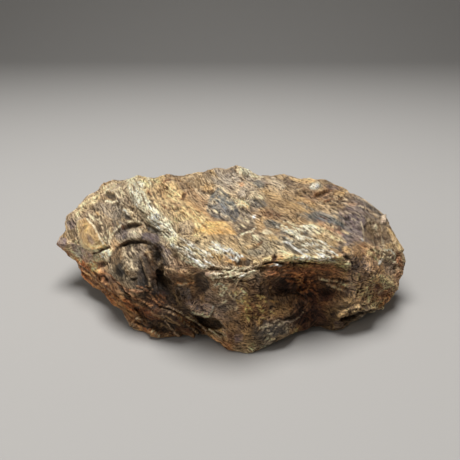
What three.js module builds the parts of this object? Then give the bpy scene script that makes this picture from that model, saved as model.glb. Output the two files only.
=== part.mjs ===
// A block of petrified wood, as broken from a fossil log. Millimetres, +Z up, +X along the block's
// length, -Y towards its steep broken front. The origin is the bottom centre of the block's box.
//
// The block is one stone. Its broken faces are flat facets between landmarks, and the log's growth
// rings, its grain, its knots and its cracks are then worked into them.
import * as THREE from "three";
import { ConvexHull } from "three/addons/math/ConvexHull.js";
import { ImprovedNoise } from "three/addons/math/ImprovedNoise.js";
import { mergeVertices } from "three/addons/utils/BufferGeometryUtils.js";

// ---- Driving dimensions -------------------------------------------------------------------------

// The point inside the stone from which every point of its surface can be seen.
const HEART = new THREE.Vector3(2, -6, 34);

// The log's grain runs from the back left to the front right, and its rings turn about a pith that
// lay above the block.
const GRAIN = new THREE.Vector3(0.48, -0.87, -0.08).normalize();
const PITH = new THREE.Vector3(20, 0, 110);

const MESH_DETAIL = 21; // edge divisions of the icosahedron that is shrunk onto the stone, less one
const EVENING_PASSES = 40; // passes that spread the vertices evenly over the stone
const WORN_EDGE_PASSES = 1; // passes that round the edges between facets
const WORN_EDGE_SHARE = 0.3; // how far each pass moves a vertex towards its neighbours

// Landmarks of the stone's surface, [x, y, z], by the part of the stone that they outline.
const LANDMARKS = {
  frontCrest: [
    [-15, -78, 60], [-4, -76, 60], [15, -73, 59], [30, -71, 59], [45, -68, 60],
    [61, -64, 56], [68, -60, 58], [86, -47, 56], [100, -30, 52], [114, -10, 47],
  ],
  backCrest: [
    [119, 20, 54], [113, 31, 58], [105, 43, 61], [93, 55, 64], [77, 63, 68], [48, 67, 70.5],
    [24, 65, 74], [9, 60, 80], [-5, 63, 77], [-30, 65, 72.5], [-47, 70, 68], [-59, 70, 72],
    [-80, 65, 66.5],
  ],
  leftShoulder: [
    [-102, 60, 67], [-109, 50, 62], [-120, 37, 56], [-125, 25, 53], [-127, 15, 48], [-124, 10, 41],
    [-132, 8, 36], [-130, 22, 38], [-126, 20, 30],
  ],
  creamRidge: [[-70, 30, 69], [-56, -5, 68], [-43, -28, 67], [-31, -55, 64], [-21, -72, 62]],
  plateau: [
    [14, -11, 64], [-20, -29, 64], [47, -24, 62], [84, -5, 59], [52, 25, 67], [8, 30, 73],
    [-45, 25, 66], [51, -47, 61], [12, -53, 62], [98, -7, 56], [-22, 8, 65], [90, 30, 62],
  ],
  leftBlock: [
    [-95, 7, 51], [-85, 17, 58], [-104, -8, 37], [-78, -14, 53], [-90, -20, 37], [-58, -17, 61],
    [-49, -36, 58], [-106, 19, 54], [-114, 3, 41],
  ],
  knot: [
    [-76, -31, 48], [-66, -34, 52], [-55, -43, 50], [-69, -44, 40], [-60, -50, 38], [-81, -31, 37],
    [-52, -52, 38],
  ],
  crevice: [[-47, -41, 49], [-44, -51, 38], [-43, -57, 30]],
  frontLeft: [
    [-45, -54, 53], [-33, -67, 56], [-22, -76, 57], [-38, -69, 48], [-30, -73, 49], [-33, -62, 40],
    [-29, -64, 33], [-19, -73, 46], [-19, -68, 33], [-15, -73, 24], [-13, -64, 14],
  ],
  frontFace: [
    [-12, -80, 52], [4, -79, 51], [2, -78, 38], [-9, -75, 34], [7, -79, 18], [22, -75, 50], [20, -73, 27],
    [38, -60, 40], [38, -68, 8], [37, -61, 24], [40, -62, 50], [57, -51, 32], [62, -57, 48],
    [60, -53, 14], [16, -77, 12],
  ],
  rightLobe: [
    [91, -49, 42], [110, -34, 26], [89, -50, 20], [74, -57, 21], [68, -54, 13], [99, -42, 10],
    [124, -9, 32], [126, -9, 21], [119, -24, 13], [105, -33, 5], [121, 1, 41], [121, 15, 46],
  ],
  leftEdge: [
    [-104, -4, 30], [-88, -28, 27], [-70, -46, 24], [-59, -57, 25], [-50, -62, 25], [-35, -66, 22],
    [-19, -70, 16], [-5, -80, 8],
  ],
  leftUnderside: [
    [-114, -2, 15], [-95, -22, 10], [-73, -41, 6], [-64, -52, 2], [-55, -62, 0], [-53, -53, 9],
    [-122, 6, 26],
  ],
  backWaist: [
    [-119, 45, 38], [-104, 67, 46], [-92, 76, 33], [-66, 82, 41], [-40, 76, 50], [-22, 81, 33],
    [0, 71, 44], [22, 78, 30], [40, 84, 45], [66, 80, 32], [84, 66, 46], [100, 62, 34],
    [116, 38, 30],
  ],
  backFoot: [
    [-108, 40, 17], [-86, 60, 10], [-60, 74, 16], [-34, 68, 6], [-8, 74, 16], [20, 66, 5],
    [52, 73, 15], [76, 56, 5], [96, 46, 14], [106, 26, 8], [116, 2, 9],
  ],
  sole: [
    [-42, -63, -2], [-20, -67, 2], [-5, -76, -1], [11, -79, -4], [25, -71, 0], [44, -63, 1],
    [60, -54, 1], [74, -55, -3], [87, -46, -1], [96, -14, 2], [88, 24, 1], [60, 54, -3],
    [24, 58, 1], [-16, 52, 2], [-52, 56, -3], [-76, 38, 2], [-88, 6, 3], [-72, -22, 1],
    [10, -12, 4], [-40, 0, 2], [50, 8, 3],
  ],
};

// What nature worked into the facets. Heights and depths stand square to the surface.
// Ledges that broken growth rings leave: each rises over most of its spacing, then drops.
const RING = { spacing: 12, ledge: 1.9, middle: 0.4, dropFrom: 0.75, wander: 0.8, wanderSize: 45 };
// Ridges of split wood along the grain.
const SPLINTER = { across: 14, along: 90, height: 4.5, middle: 0.2 };
const LUMPS = [
  { size: 34, height: 4.5 },
  { size: 15, height: 3.6 },
];

// Cracks, hollows and raised pieces. Each follows a path of [x, y, z] and reaches `radius` to its
// sides; a negative height is a depth. Its middle stands at full height, up to FLAT_SHARE of radius.
const FLAT_SHARE = 0.4;
const FEATURES = [
  { name: "knot hole", height: -3.5, radius: 7, path: [[-98, 39, 64], [-91, 33, 63]] },
  { name: "lip of the knot hole", height: 2, radius: 5, path: [[-100, 28, 60], [-90, 23, 60]] },
  { name: "split slab", height: 3.5, radius: 9, path: [[-108, 17, 53], [-102, 6, 50], [-93, -12, 43]] },
  {
    name: "upper arc crack",
    height: -1.6,
    radius: 4,
    path: [[-78, -10, 53], [-72, -8, 57], [-62, -15, 60], [-52, -24, 60]],
  },
  {
    name: "lower arc crack",
    height: -2.2,
    radius: 4,
    path: [[-77, -25, 47], [-70, -26, 51], [-61, -31, 55], [-54, -36, 55]],
  },
  {
    name: "cap between the arcs",
    height: 1.5,
    radius: 7,
    path: [[-73, -17, 54], [-64, -20, 57], [-54, -28, 58]],
  },
  {
    name: "rib beside the crevice",
    height: 3.5,
    radius: 4.5,
    path: [[-56, -42, 50], [-53, -49, 40], [-51, -57, 30]],
  },
  { name: "crevice", height: -4, radius: 6, path: [[-45, -42, 50], [-44, -50, 42], [-43, -56, 36]] },
  {
    name: "cream ridge",
    height: 2.4,
    radius: 9,
    path: [[-76, 44, 70], [-56, -6, 69], [-43, -25, 66], [-24, -66, 64]],
  },
  {
    name: "groove behind the cream ridge",
    height: -2.2,
    radius: 8,
    path: [[-55, 32, 68], [-40, -8, 67], [-20, -42, 64]],
  },
  { name: "golden nodules", height: 3.2, radius: 9, path: [[-51, 42, 69], [-41, 30, 67]] },
  { name: "crack by the nodules", height: -2.5, radius: 5, path: [[-62, 32, 68], [-57, 23, 68]] },
  { name: "grey boss", height: 2.6, radius: 10, path: [[10, 20, 70], [20, 15, 68]] },
  { name: "ochre knob", height: 2.8, radius: 8, path: [[13, -43, 62], [20, -47, 62]] },
  { name: "white boss", height: 3, radius: 9, path: [[61, 48, 68], [70, 46, 67]] },
  { name: "rust crease", height: -3.6, radius: 7, path: [[56, 31, 67], [68, 29, 66], [80, 38, 65]] },
  { name: "right crease", height: -2.6, radius: 6, path: [[74, 20, 64], [90, 29, 62]] },
  {
    name: "recess in the right shoulder",
    height: -2.5,
    radius: 12,
    path: [[94, -17, 55], [107, -13, 50]],
  },
  {
    name: "undercut below the left rim",
    height: -2,
    radius: 5,
    path: [[-33, -65, 40], [-24, -71, 43]],
  },
  {
    name: "undercut below the front rim",
    height: -4,
    radius: 5,
    path: [[22, -74, 57], [38, -69, 55], [64, -60, 51]],
  },
  { name: "front hollow", height: -3, radius: 14, path: [[34, -62, 36], [54, -55, 32]] },
  { name: "hollow under the chip", height: -5, radius: 8, path: [[-20, -66, 14], [-9, -71, 14]] },
  {
    name: "underside ledge",
    height: 2.5,
    radius: 5,
    path: [[-90, -23, 29], [-70, -46, 25], [-51, -61, 25], [-35, -66, 21], [-17, -72, 13]],
  },
  {
    name: "slot under the left ledge",
    height: -3.5,
    radius: 5,
    path: [[-90, -20, 22], [-72, -41, 17], [-52, -55, 17]],
  },
  {
    name: "ledge under the right lobe",
    height: 3,
    radius: 6,
    path: [[70, -56, 15], [80, -53, 16], [95, -45, 16]],
  },
  { name: "slot under the right lobe", height: -4, radius: 6, path: [[78, -52, 8], [97, -40, 8]] },
];

// ---- The facets ---------------------------------------------------------------------------------

// The facets between the landmarks: the triangles that join their directions from the heart.
function facetsBetween(landmarks) {
  const directions = landmarks.map((p) => p.clone().normalize());
  const landmarkOf = new Map(directions.map((d, i) => [d, landmarks[i]]));
  const hull = new ConvexHull().setFromPoints(directions);
  return hull.faces.map((face) => {
    const corners = [face.edge, face.edge.next, face.edge.next.next].map((e) => e.head().point);
    const [a, b, c] = corners.map((d) => landmarkOf.get(d));
    const plane = new THREE.Plane().setFromCoplanarPoints(a, b, c);
    const sides = corners.map((d, i) => d.clone().cross(corners[(i + 1) % 3]));
    return { plane, sides };
  });
}

// The distance from the heart to the facets along a direction.
function reach(facets, direction) {
  let best = null;
  let bestInside = -Infinity;
  for (const facet of facets) {
    const inside = Math.min(...facet.sides.map((side) => side.dot(direction)));
    if (inside > bestInside) {
      bestInside = inside;
      best = facet;
    }
  }
  return -best.plane.constant / best.plane.normal.dot(direction);
}

// ---- The mesh -----------------------------------------------------------------------------------

function sphereMesh(detail) {
  const sphere = new THREE.IcosahedronGeometry(1, detail);
  sphere.deleteAttribute("normal");
  sphere.deleteAttribute("uv");
  return mergeVertices(sphere, 1e-5);
}

function neighboursOf(index, count) {
  const sets = Array.from({ length: count }, () => new Set());
  for (let i = 0; i < index.length; i += 3) {
    for (let k = 0; k < 3; k += 1) {
      sets[index[i + k]].add(index[i + ((k + 1) % 3)]);
      sets[index[i + ((k + 1) % 3)]].add(index[i + k]);
    }
  }
  return sets.map((set) => [...set]);
}

// Each point moved a share of the way to the middle of its neighbours.
function softened(points, neighbours, share) {
  return points.map((p, i) => {
    const middle = new THREE.Vector3();
    for (const n of neighbours[i]) middle.add(points[n]);
    middle.divideScalar(neighbours[i].length);
    return p.clone().lerp(middle, share);
  });
}

const onFacets = (facets) => (p) => {
  const direction = p.clone().normalize();
  return direction.multiplyScalar(reach(facets, direction));
};

// ---- The grain, rings, lumps and cracks ----------------------------------------------------------

const noise = new ImprovedNoise();
const ACROSS = new THREE.Vector3(0, 0, 1).cross(GRAIN).normalize();
const UPWARD = GRAIN.clone().cross(ACROSS);

const lump = (p, size) => noise.noise(p.x / size, p.y / size, p.z / size);

// Each ring rises slowly and then breaks off short.
function ringLedge(p) {
  const fromPith = p.clone().sub(PITH);
  fromPith.addScaledVector(GRAIN, -fromPith.dot(GRAIN));
  const ring = fromPith.length() / RING.spacing + RING.wander * lump(p, RING.wanderSize);
  const share = ring - Math.floor(ring);
  return RING.ledge * (THREE.MathUtils.smoothstep(share, RING.dropFrom, 1) - share + RING.middle);
}

function splinter(p) {
  const { across, along, height, middle } = SPLINTER;
  const fold = noise.noise(p.dot(ACROSS) / across, p.dot(GRAIN) / along, p.dot(UPWARD) / across);
  return height * (middle - Math.abs(fold));
}

function featureHeight(p, feature) {
  const path = feature.path.map((c) => new THREE.Vector3(...c));
  const nearest = new THREE.Vector3();
  let distance = Infinity;
  for (let i = 0; i + 1 < path.length; i += 1) {
    new THREE.Line3(path[i], path[i + 1]).closestPointToPoint(p, true, nearest);
    distance = Math.min(distance, nearest.distanceTo(p));
  }
  return feature.height * (1 - THREE.MathUtils.smoothstep(distance / feature.radius, FLAT_SHARE, 1));
}

// The height of the relief at a point of the facets; `along` is how far the surface lies along the
// grain there, since rings and splinters only stand out where the stone split lengthwise.
function reliefAt(p, along) {
  let height = along * (ringLedge(p) + splinter(p));
  for (const { size, height: most } of LUMPS) height += most * lump(p, size);
  for (const feature of FEATURES) height += featureHeight(p, feature);
  return height;
}

// ---- The stone ----------------------------------------------------------------------------------

// Vertices spread evenly over the facets, with the edges between the facets worn.
function wornFacets(directions, neighbours) {
  const landmarks = Object.values(LANDMARKS).flat().map((p) => new THREE.Vector3(...p).sub(HEART));
  const drop = onFacets(facetsBetween(landmarks));
  let points = directions.map(drop);
  for (let pass = 0; pass < EVENING_PASSES; pass += 1) {
    points = softened(points, neighbours, 1).map(drop);
  }
  for (let pass = 0; pass < WORN_EDGE_PASSES; pass += 1) {
    points = softened(points, neighbours, WORN_EDGE_SHARE);
  }
  return points.map((p) => p.add(HEART));
}

function petrifiedWood() {
  const geometry = sphereMesh(MESH_DETAIL);
  const position = geometry.getAttribute("position");
  const vectors = (from) =>
    Array.from({ length: from.count }, (_, i) => new THREE.Vector3().fromBufferAttribute(from, i));
  const place = (points) => points.forEach((p, i) => position.setXYZ(i, p.x, p.y, p.z));

  const points = wornFacets(vectors(position), neighboursOf(geometry.index.array, position.count));
  place(points);
  geometry.computeVertexNormals();
  const outwards = vectors(geometry.getAttribute("normal"));
  points.forEach((p, i) => {
    p.addScaledVector(outwards[i], reliefAt(p, 1 - outwards[i].dot(GRAIN) ** 2));
    p.z = Math.max(0, p.z);
  });
  place(points);
  geometry.deleteAttribute("normal");

  const middle = new THREE.Box3().setFromPoints(points).getCenter(new THREE.Vector3());
  return geometry.translate(-middle.x, -middle.y, 0);
}

const stone = new THREE.Mesh(
  petrifiedWood(),
  new THREE.MeshStandardMaterial({ color: 0x8a6a3c, roughness: 0.85, metalness: 0 }),
);
stone.name = "petrified_wood";

const part = new THREE.Group();
part.add(stone);

export default part;
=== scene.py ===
"""A block of petrified wood on a pale floor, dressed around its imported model."""
import math

import bpy
import numpy as np
from mathutils import Matrix, Vector
from mathutils.bvhtree import BVHTree


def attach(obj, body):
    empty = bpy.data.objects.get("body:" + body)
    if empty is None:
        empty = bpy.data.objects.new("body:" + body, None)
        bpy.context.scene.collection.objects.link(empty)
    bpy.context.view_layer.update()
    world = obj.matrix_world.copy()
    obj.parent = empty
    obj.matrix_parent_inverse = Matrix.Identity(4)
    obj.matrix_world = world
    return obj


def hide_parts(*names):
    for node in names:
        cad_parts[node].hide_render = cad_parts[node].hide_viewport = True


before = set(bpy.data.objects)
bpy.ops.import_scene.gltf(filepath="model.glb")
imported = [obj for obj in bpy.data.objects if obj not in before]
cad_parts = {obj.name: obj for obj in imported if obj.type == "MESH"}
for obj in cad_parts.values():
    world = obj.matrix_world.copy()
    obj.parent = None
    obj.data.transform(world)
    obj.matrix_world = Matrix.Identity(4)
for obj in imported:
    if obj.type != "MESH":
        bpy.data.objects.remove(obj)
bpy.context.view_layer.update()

NODE = "petrified_wood"
MM = 0.001  # metres in a millimetre; the stone is worked in millimetres below

# ---- The view ----------------------------------------------------------------------------------

FRAME_PX = 460
FOCAL_PX = 537.0
PITCH = math.radians(23.3)  # how far the camera looks down
CAMERA_MM = np.array([2.58, -355.04, 202.0])
SENSOR_MM = 36.0


def pixel_of(points):
    """Where points, in millimetres, lie in the photograph's 460 x 460 frame, and how far away."""
    from_camera = points - CAMERA_MM
    x, forward, up = from_camera.T
    depth = forward * math.cos(PITCH) - up * math.sin(PITCH)
    rise = up * math.cos(PITCH) + forward * math.sin(PITCH)
    middle = FRAME_PX / 2
    return middle + FOCAL_PX * x / depth, middle - FOCAL_PX * rise / depth, depth


# ---- The wood's grain --------------------------------------------------------------------------


def unit(v):
    """A direction as a vector one long."""
    v = np.asarray(v, float)
    return v / np.linalg.norm(v)


GRAIN = unit((0.48, -0.87, -0.08))  # towards the viewer, to the right and slightly down
ACROSS = unit(np.cross((0, 0, 1), GRAIN))
UPWARD = np.cross(GRAIN, ACROSS)

# ---- Noise -------------------------------------------------------------------------------------

SEED_STEP = 17  # from the seed of one octave to the next
FINER, RIDGES_FINER = 2.03, 2.07  # how much finer each octave is than the one before


def hashed(cell, seed):
    """A number from 0 to 1 for each whole-number lattice point in cell, an (n, 3) array."""
    x, y, z = cell.astype(np.int64).astype(np.uint32).T
    h = x * np.uint32(374761393) + y * np.uint32(668265263) + z * np.uint32(2246822519)
    h = (h ^ np.uint32(seed * 3266489 + 374761)) * np.uint32(2654435761)
    h ^= h >> np.uint32(15)
    h *= np.uint32(2246822519)
    h ^= h >> np.uint32(13)
    h *= np.uint32(3266489917)
    h ^= h >> np.uint32(16)
    return h.astype(np.float64) / 4294967295.0


def noise(p, seed):
    """Gradient noise at points p, from about -1 to 1."""
    cell = np.floor(p)
    f = p - cell
    ease = f * f * f * (f * (f * 6 - 15) + 10)
    total = np.zeros(len(p))
    for corner in np.ndindex(2, 2, 2):
        corner = np.array(corner)
        turn = hashed(cell + corner, seed) * 2 * math.pi
        z = hashed(cell + corner, seed + 101) * 2 - 1
        flat = np.sqrt(1 - z * z)
        d = f - corner
        slope = flat * np.cos(turn) * d[:, 0] + flat * np.sin(turn) * d[:, 1] + z * d[:, 2]
        weight = np.where(corner, ease, 1 - ease).prod(axis=1)
        total += slope * weight
    return total * 1.6


def fractal(p, octaves, seed, gain=0.5):
    """Noise with finer and weaker noise on top of it, from about -1 to 1."""
    total, amplitude, most = 0.0, 1.0, 0.0
    for octave in range(octaves):
        total = total + amplitude * noise(p * FINER**octave, seed + SEED_STEP * octave)
        most += amplitude
        amplitude *= gain
    return total / most


def fractals(p, octaves, seeds, gain=0.5):
    """One column of such noise for each seed."""
    return np.stack([fractal(p, octaves, seed, gain) for seed in seeds], axis=1)


def ridged(p, octaves, seed, gain=0.55):
    """Sharp crests where the noise crosses zero, from 0 in the troughs to 1 on the crests."""
    total, amplitude, most = 0.0, 1.0, 0.0
    for octave in range(octaves):
        wave = noise(p * RIDGES_FINER**octave, seed + SEED_STEP * octave)
        total = total + amplitude * (1 - np.abs(wave) * 1.4)
        most += amplitude
        amplitude *= gain
    return np.clip(total / most, 0, 1)


def cells(p, seed):
    """Distances to the nearest and second nearest of scattered points, a number from 0 to 1 for
    the nearest, and the way from it."""
    base = np.floor(p)
    first = np.full(len(p), 9.0)
    second = np.full(len(p), 9.0)
    tone = np.zeros(len(p))
    offset_to_first = np.zeros((len(p), 3))
    for step in np.ndindex(3, 3, 3):
        cell = base + np.array(step) - 1
        middle = cell + np.stack([hashed(cell, seed + k) for k in (1, 2, 3)], axis=1)
        offset = p - middle
        distance = np.sqrt((offset**2).sum(axis=1))
        nearer = distance < first
        second = np.where(nearer, first, np.minimum(second, distance))
        tone = np.where(nearer, hashed(cell, seed + 4), tone)
        offset_to_first = np.where(nearer[:, None], offset, offset_to_first)
        first = np.where(nearer, distance, first)
    return first, second, tone, offset_to_first


def smoothstep(low, high, x):
    """0 at low and 1 at high, with an eased rise between; low may lie above high."""
    t = np.clip((x - low) / (high - low), 0, 1)
    return t * t * (3 - 2 * t)


# ---- The fine mesh -----------------------------------------------------------------------------

VOXEL_MM = 0.8
WELD_M = 1e-6
GRAIN_SQUEEZE = 0.62  # the mesh is this much finer across the grain than along it
UNSEEN_SHARE = 0.3  # the share of its triangles that the unseen side keeps
SPARING = 1000  # how strongly the decimation keeps to the unseen side
SKIN_MM = 0.5  # how far off the surface a line of sight starts
SEEN_PASSES = 6  # how often what is seen is smoothed, before it is stretched back to 0 and 1


class Stone:
    """The stone's mesh as arrays, in millimetres."""

    def __init__(self, mesh):
        n = len(mesh.vertices)
        co = np.empty(n * 3, np.float32)
        mesh.vertices.foreach_get("co", co)
        self.p = co.reshape(-1, 3).astype(float) / MM
        corners = np.empty(len(mesh.loops), np.int32)
        mesh.loops.foreach_get("vertex_index", corners)
        starts = np.empty(len(mesh.polygons), np.int32)
        totals = np.empty(len(mesh.polygons), np.int32)
        mesh.polygons.foreach_get("loop_start", starts)
        mesh.polygons.foreach_get("loop_total", totals)
        fans = []
        for size in np.unique(totals):
            first = starts[totals == size]
            for k in range(1, size - 1):
                fans.append(np.stack([corners[first + step] for step in (0, k, k + 1)], axis=1))
        self.triangles = np.concatenate(fans)
        ends = np.empty(len(mesh.edges) * 2, np.int32)
        mesh.edges.foreach_get("vertices", ends)
        self.edges = ends.reshape(-1, 2)
        self.degree = np.bincount(self.edges.ravel(), minlength=n)

    def smooth(self, values, passes, share=1.0):
        """Values at the vertices, each moved towards the mean of its neighbours."""
        a, b = self.edges.T
        flat = values.reshape(len(values), -1).astype(float)
        n = len(flat)
        for _ in range(passes):
            total = np.empty_like(flat)
            for k, column in enumerate(flat.T):
                total[:, k] = np.bincount(a, column[b], n) + np.bincount(b, column[a], n)
            flat = flat + share * (total / self.degree[:, None] - flat)
        return flat.reshape(values.shape)

    def normals(self):
        """The way out of the stone at each vertex."""
        a, b, c = (self.p[self.triangles[:, k]] for k in range(3))
        area = np.cross(b - a, c - a)
        total = np.zeros_like(self.p)
        for k in range(3):
            for axis in range(3):
                total[:, axis] += np.bincount(self.triangles[:, k], area[:, axis], len(self.p))
        return total / np.linalg.norm(total, axis=1, keepdims=True)

    def tree(self):
        """The triangles, ready for lines of sight."""
        return BVHTree.FromPolygons(self.p.tolist(), self.triangles.tolist())


class Survey:
    """What the camera sees of the stone before its relief: for each vertex its pixel, how many
    millimetres a pixel spans there, and how surely it is in view."""

    def __init__(self, stone):
        px, py, depth = pixel_of(stone.p)
        self.pixel = np.stack([px, py], axis=1)
        self.span = depth / FOCAL_PX
        outward = stone.normals()
        toward = CAMERA_MM - stone.p
        toward /= np.linalg.norm(toward, axis=1, keepdims=True)
        facing = (outward * toward).sum(axis=1)
        tree = stone.tree()
        seen = np.zeros(len(stone.p))
        camera = Vector(CAMERA_MM)
        for i in np.flatnonzero(facing > 0):
            start = Vector(stone.p[i] + outward[i] * SKIN_MM)
            hit = tree.ray_cast(start, camera - start)
            seen[i] = hit[0] is None
        self.seen = np.clip(stone.smooth(seen, SEEN_PASSES) * 1.6 - 0.2, 0, 1)


def in_scene(name, data):
    """A new object of this data, in the scene."""
    obj = bpy.data.objects.new(name, data)
    bpy.context.scene.collection.objects.link(obj)
    return obj


def evaluated_mesh(piece):
    """The mesh that the piece's modifiers make of it."""
    bpy.context.view_layer.update()
    result = piece.evaluated_get(bpy.context.evaluated_depsgraph_get())
    return bpy.data.meshes.new_from_object(result)


def fine_mesh():
    """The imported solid, remeshed finely, with its facets along the grain."""
    to_grain = np.eye(4)
    to_grain[:3, :3] = np.stack([GRAIN * GRAIN_SQUEEZE, ACROSS, UPWARD])
    to_grain = Matrix(to_grain.tolist())
    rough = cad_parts[NODE].data.copy()
    rough.transform(to_grain)
    piece = in_scene("stone", rough)
    weld = piece.modifiers.new("weld", "WELD")
    weld.merge_threshold = WELD_M
    remesh = piece.modifiers.new("remesh", "REMESH")
    remesh.mode = "VOXEL"
    remesh.voxel_size = VOXEL_MM * MM
    fine = evaluated_mesh(piece)
    fine.transform(to_grain.inverted())
    piece.modifiers.clear()
    piece.data = fine
    bpy.data.meshes.remove(rough)
    return piece


def thin_unseen(piece):
    """Leaves fewer triangles on the side that the camera does not see."""
    stone = Stone(piece.data)
    unseen = Survey(stone).seen < 0.5
    group = piece.vertex_groups.new(name="unseen")
    for i in np.flatnonzero(unseen):
        group.add([int(i)], 1.0, "REPLACE")
    hidden = unseen[stone.triangles].all(axis=1).sum()
    thin = piece.modifiers.new("thin", "DECIMATE")
    thin.ratio = 1 - (1 - UNSEEN_SHARE) * hidden / len(stone.triangles)
    thin.vertex_group = group.name
    thin.vertex_group_factor = SPARING
    thinned = evaluated_mesh(piece)
    piece.modifiers.clear()
    piece.vertex_groups.clear()
    piece.data = thinned


# ---- Places seen in the photograph -------------------------------------------------------------
#
# Outlines and paths below are pixel coordinates in the photograph's 460 x 460 frame, written
# x,y, x,y and so on, and land on whatever the camera sees of the stone there. Radii and lengths
# along them are pixels too. Heights are millimetres, negative for hollows.

# Colours of the stone, as 0-255 sRGB.
COLOURS = {
    "white": (246, 238, 218),
    "cream": (234, 214, 177),
    "bone": (208, 187, 152),
    "sand": (218, 188, 138),
    "gold": (206, 168, 106),
    "amber": (222, 168, 92),
    "fox": (192, 120, 68),
    "ochre": (190, 150, 94),
    "tan": (170, 141, 107),
    "brown": (134, 106, 74),
    "rust": (142, 88, 48),
    "maroon": (84, 46, 30),
    "umber": (94, 70, 48),
    "olive": (122, 100, 70),
    "grey": (146, 134, 120),
    "slate": (84, 91, 92),
    "ink": (52, 50, 50),
    "plum": (108, 93, 97),
    "pink": (214, 186, 160),
    "soot": (34, 25, 18),
}

# Wide washes of colour: colour, share, radius, path.
WASHES = [
    ("umber", 0.7, 10, [366,208, 372,216]),
    # Painted shade in the hollows under the front rim, partly the front's own darker wood.
    ("soot", 0.9, 12, [272,291, 280,284, 286,281]),
    ("soot", 0.6, 9, [300,284, 308,282]),
    ("ink", 0.6, 10, [326,286, 336,286]),
    # Painted shade down the crevice beside the rib.
    ("soot", 0.75, 8, [158,260, 160,270, 163,284]),
    ("umber", 0.8, 12, [150,292, 166,296]),
    ("slate", 0.6, 8, [314,214, 328,218, 340,226]),
    ("tan", 0.7, 24, [85,205, 92,240]),
    ("gold", 0.6, 10, [164,208, 184,216, 204,228]),
    ("gold", 0.5, 10, [196,180, 206,190]),
    ("olive", 0.5, 12, [104,206, 120,216, 110,236]),
    ("cream", 0.6, 10, [134,184, 142,202, 158,220, 172,236]),
    ("sand", 0.75, 16, [150,186, 168,200, 186,214]),
    ("olive", 0.5, 9, [188,182, 198,194, 196,206]),
    ("tan", 0.6, 12, [196,182, 205,200]),
    ("grey", 0.6, 12, [226,178, 250,182, 262,196]),
    ("ochre", 0.6, 10, [268,192, 288,204]),
    ("brown", 0.8, 12, [262,214, 280,212, 300,204]),
    ("ochre", 0.6, 10, [296,204, 326,204]),
    ("brown", 0.7, 11, [320,196, 352,196, 366,206]),
    ("plum", 0.65, 15, [356,210, 374,214, 354,232]),
    ("rust", 0.45, 7, [308,197, 322,195, 334,191]),
    ("olive", 0.7, 10, [372,226, 384,238]),
    ("bone", 0.6, 11, [190,246, 225,250, 262,244]),
    ("tan", 0.5, 9, [216,238, 240,248, 262,252]),
    ("bone", 0.65, 12, [282,248, 318,250, 330,244]),
    ("ochre", 0.7, 8, [322,232, 338,244]),
    ("olive", 0.7, 10, [118,232, 146,234, 124,256]),
    ("tan", 0.6, 8, [92,256, 104,250, 112,244]),
    ("brown", 0.9, 12, [80,270, 100,286, 122,306, 140,322]),
    ("rust", 0.9, 14, [84,270, 102,288, 122,305, 150,320, 190,336]),
    ("maroon", 0.6, 15, [150,314, 172,326, 196,338]),
    # Painted shade under the left rim, partly the front's own darker wood.
    ("umber", 0.9, 18, [166,280, 186,292, 200,300]),
    ("brown", 0.9, 24, [224,290, 246,316, 232,340]),
    ("umber", 0.6, 12, [240,276, 256,290, 250,306]),
    ("tan", 0.6, 8, [208,274, 246,272]),
    # Painted shade under the right rim, partly the front's own darker wood.
    ("umber", 0.95, 24, [290,284, 330,290, 316,314]),
    ("maroon", 0.8, 16, [300,284, 322,296, 308,318]),
    ("rust", 0.5, 6, [272,271, 300,272, 332,270]),
    ("slate", 0.6, 9, [262,330, 286,328]),
    ("brown", 0.55, 18, [352,262, 362,282, 384,290]),
    ("grey", 0.4, 14, [350,250, 362,268, 360,288]),
    ("rust", 0.8, 8, [60,250, 76,264, 90,275]),
    ("rust", 0.6, 9, [148,274, 156,296]),
    ("rust", 0.6, 9, [190,336, 212,344, 226,350]),
    ("rust", 0.6, 11, [152,302, 184,326]),
    ("gold", 0.5, 6, [212,258, 238,260]),
    ("ochre", 0.5, 6, [284,258, 322,261]),
    ("ochre", 0.5, 7, [116,246, 122,260]),
    ("grey", 0.45, 10, [192,306, 212,314]),
    ("umber", 0.8, 9, [338,284, 342,304, 326,322]),
]

# The colour of the fine fibres and flecks where it isn't cream: colour, share, radius, path.
VEINS = [
    ("bone", 0.8, 24, [90,210, 100,240, 130,256]),
    ("sand", 0.8, 20, [160,190, 196,226, 230,232]),
    ("sand", 0.6, 26, [280,196, 330,206]),
    ("amber", 0.8, 32, [180,296, 240,316, 300,306, 330,300]),
    ("fox", 0.9, 18, [280,274, 330,280, 310,306]),
    ("bone", 0.8, 14, [212,278, 232,290, 222,304]),
    ("grey", 0.7, 9, [266,328, 286,326]),
    ("amber", 0.7, 14, [90,280, 116,300, 160,324, 196,336]),
    ("amber", 0.8, 22, [360,262, 380,292]),
]

# Casts: factors for red, green and blue.
HOT = (1.25, 0.92, 0.55)
WARM = (1.15, 0.95, 0.72)
MILD = (1.1, 0.96, 0.85)
COOL = (0.95, 1.0, 1.16)
ROSY = (1.1, 0.96, 0.97)
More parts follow.
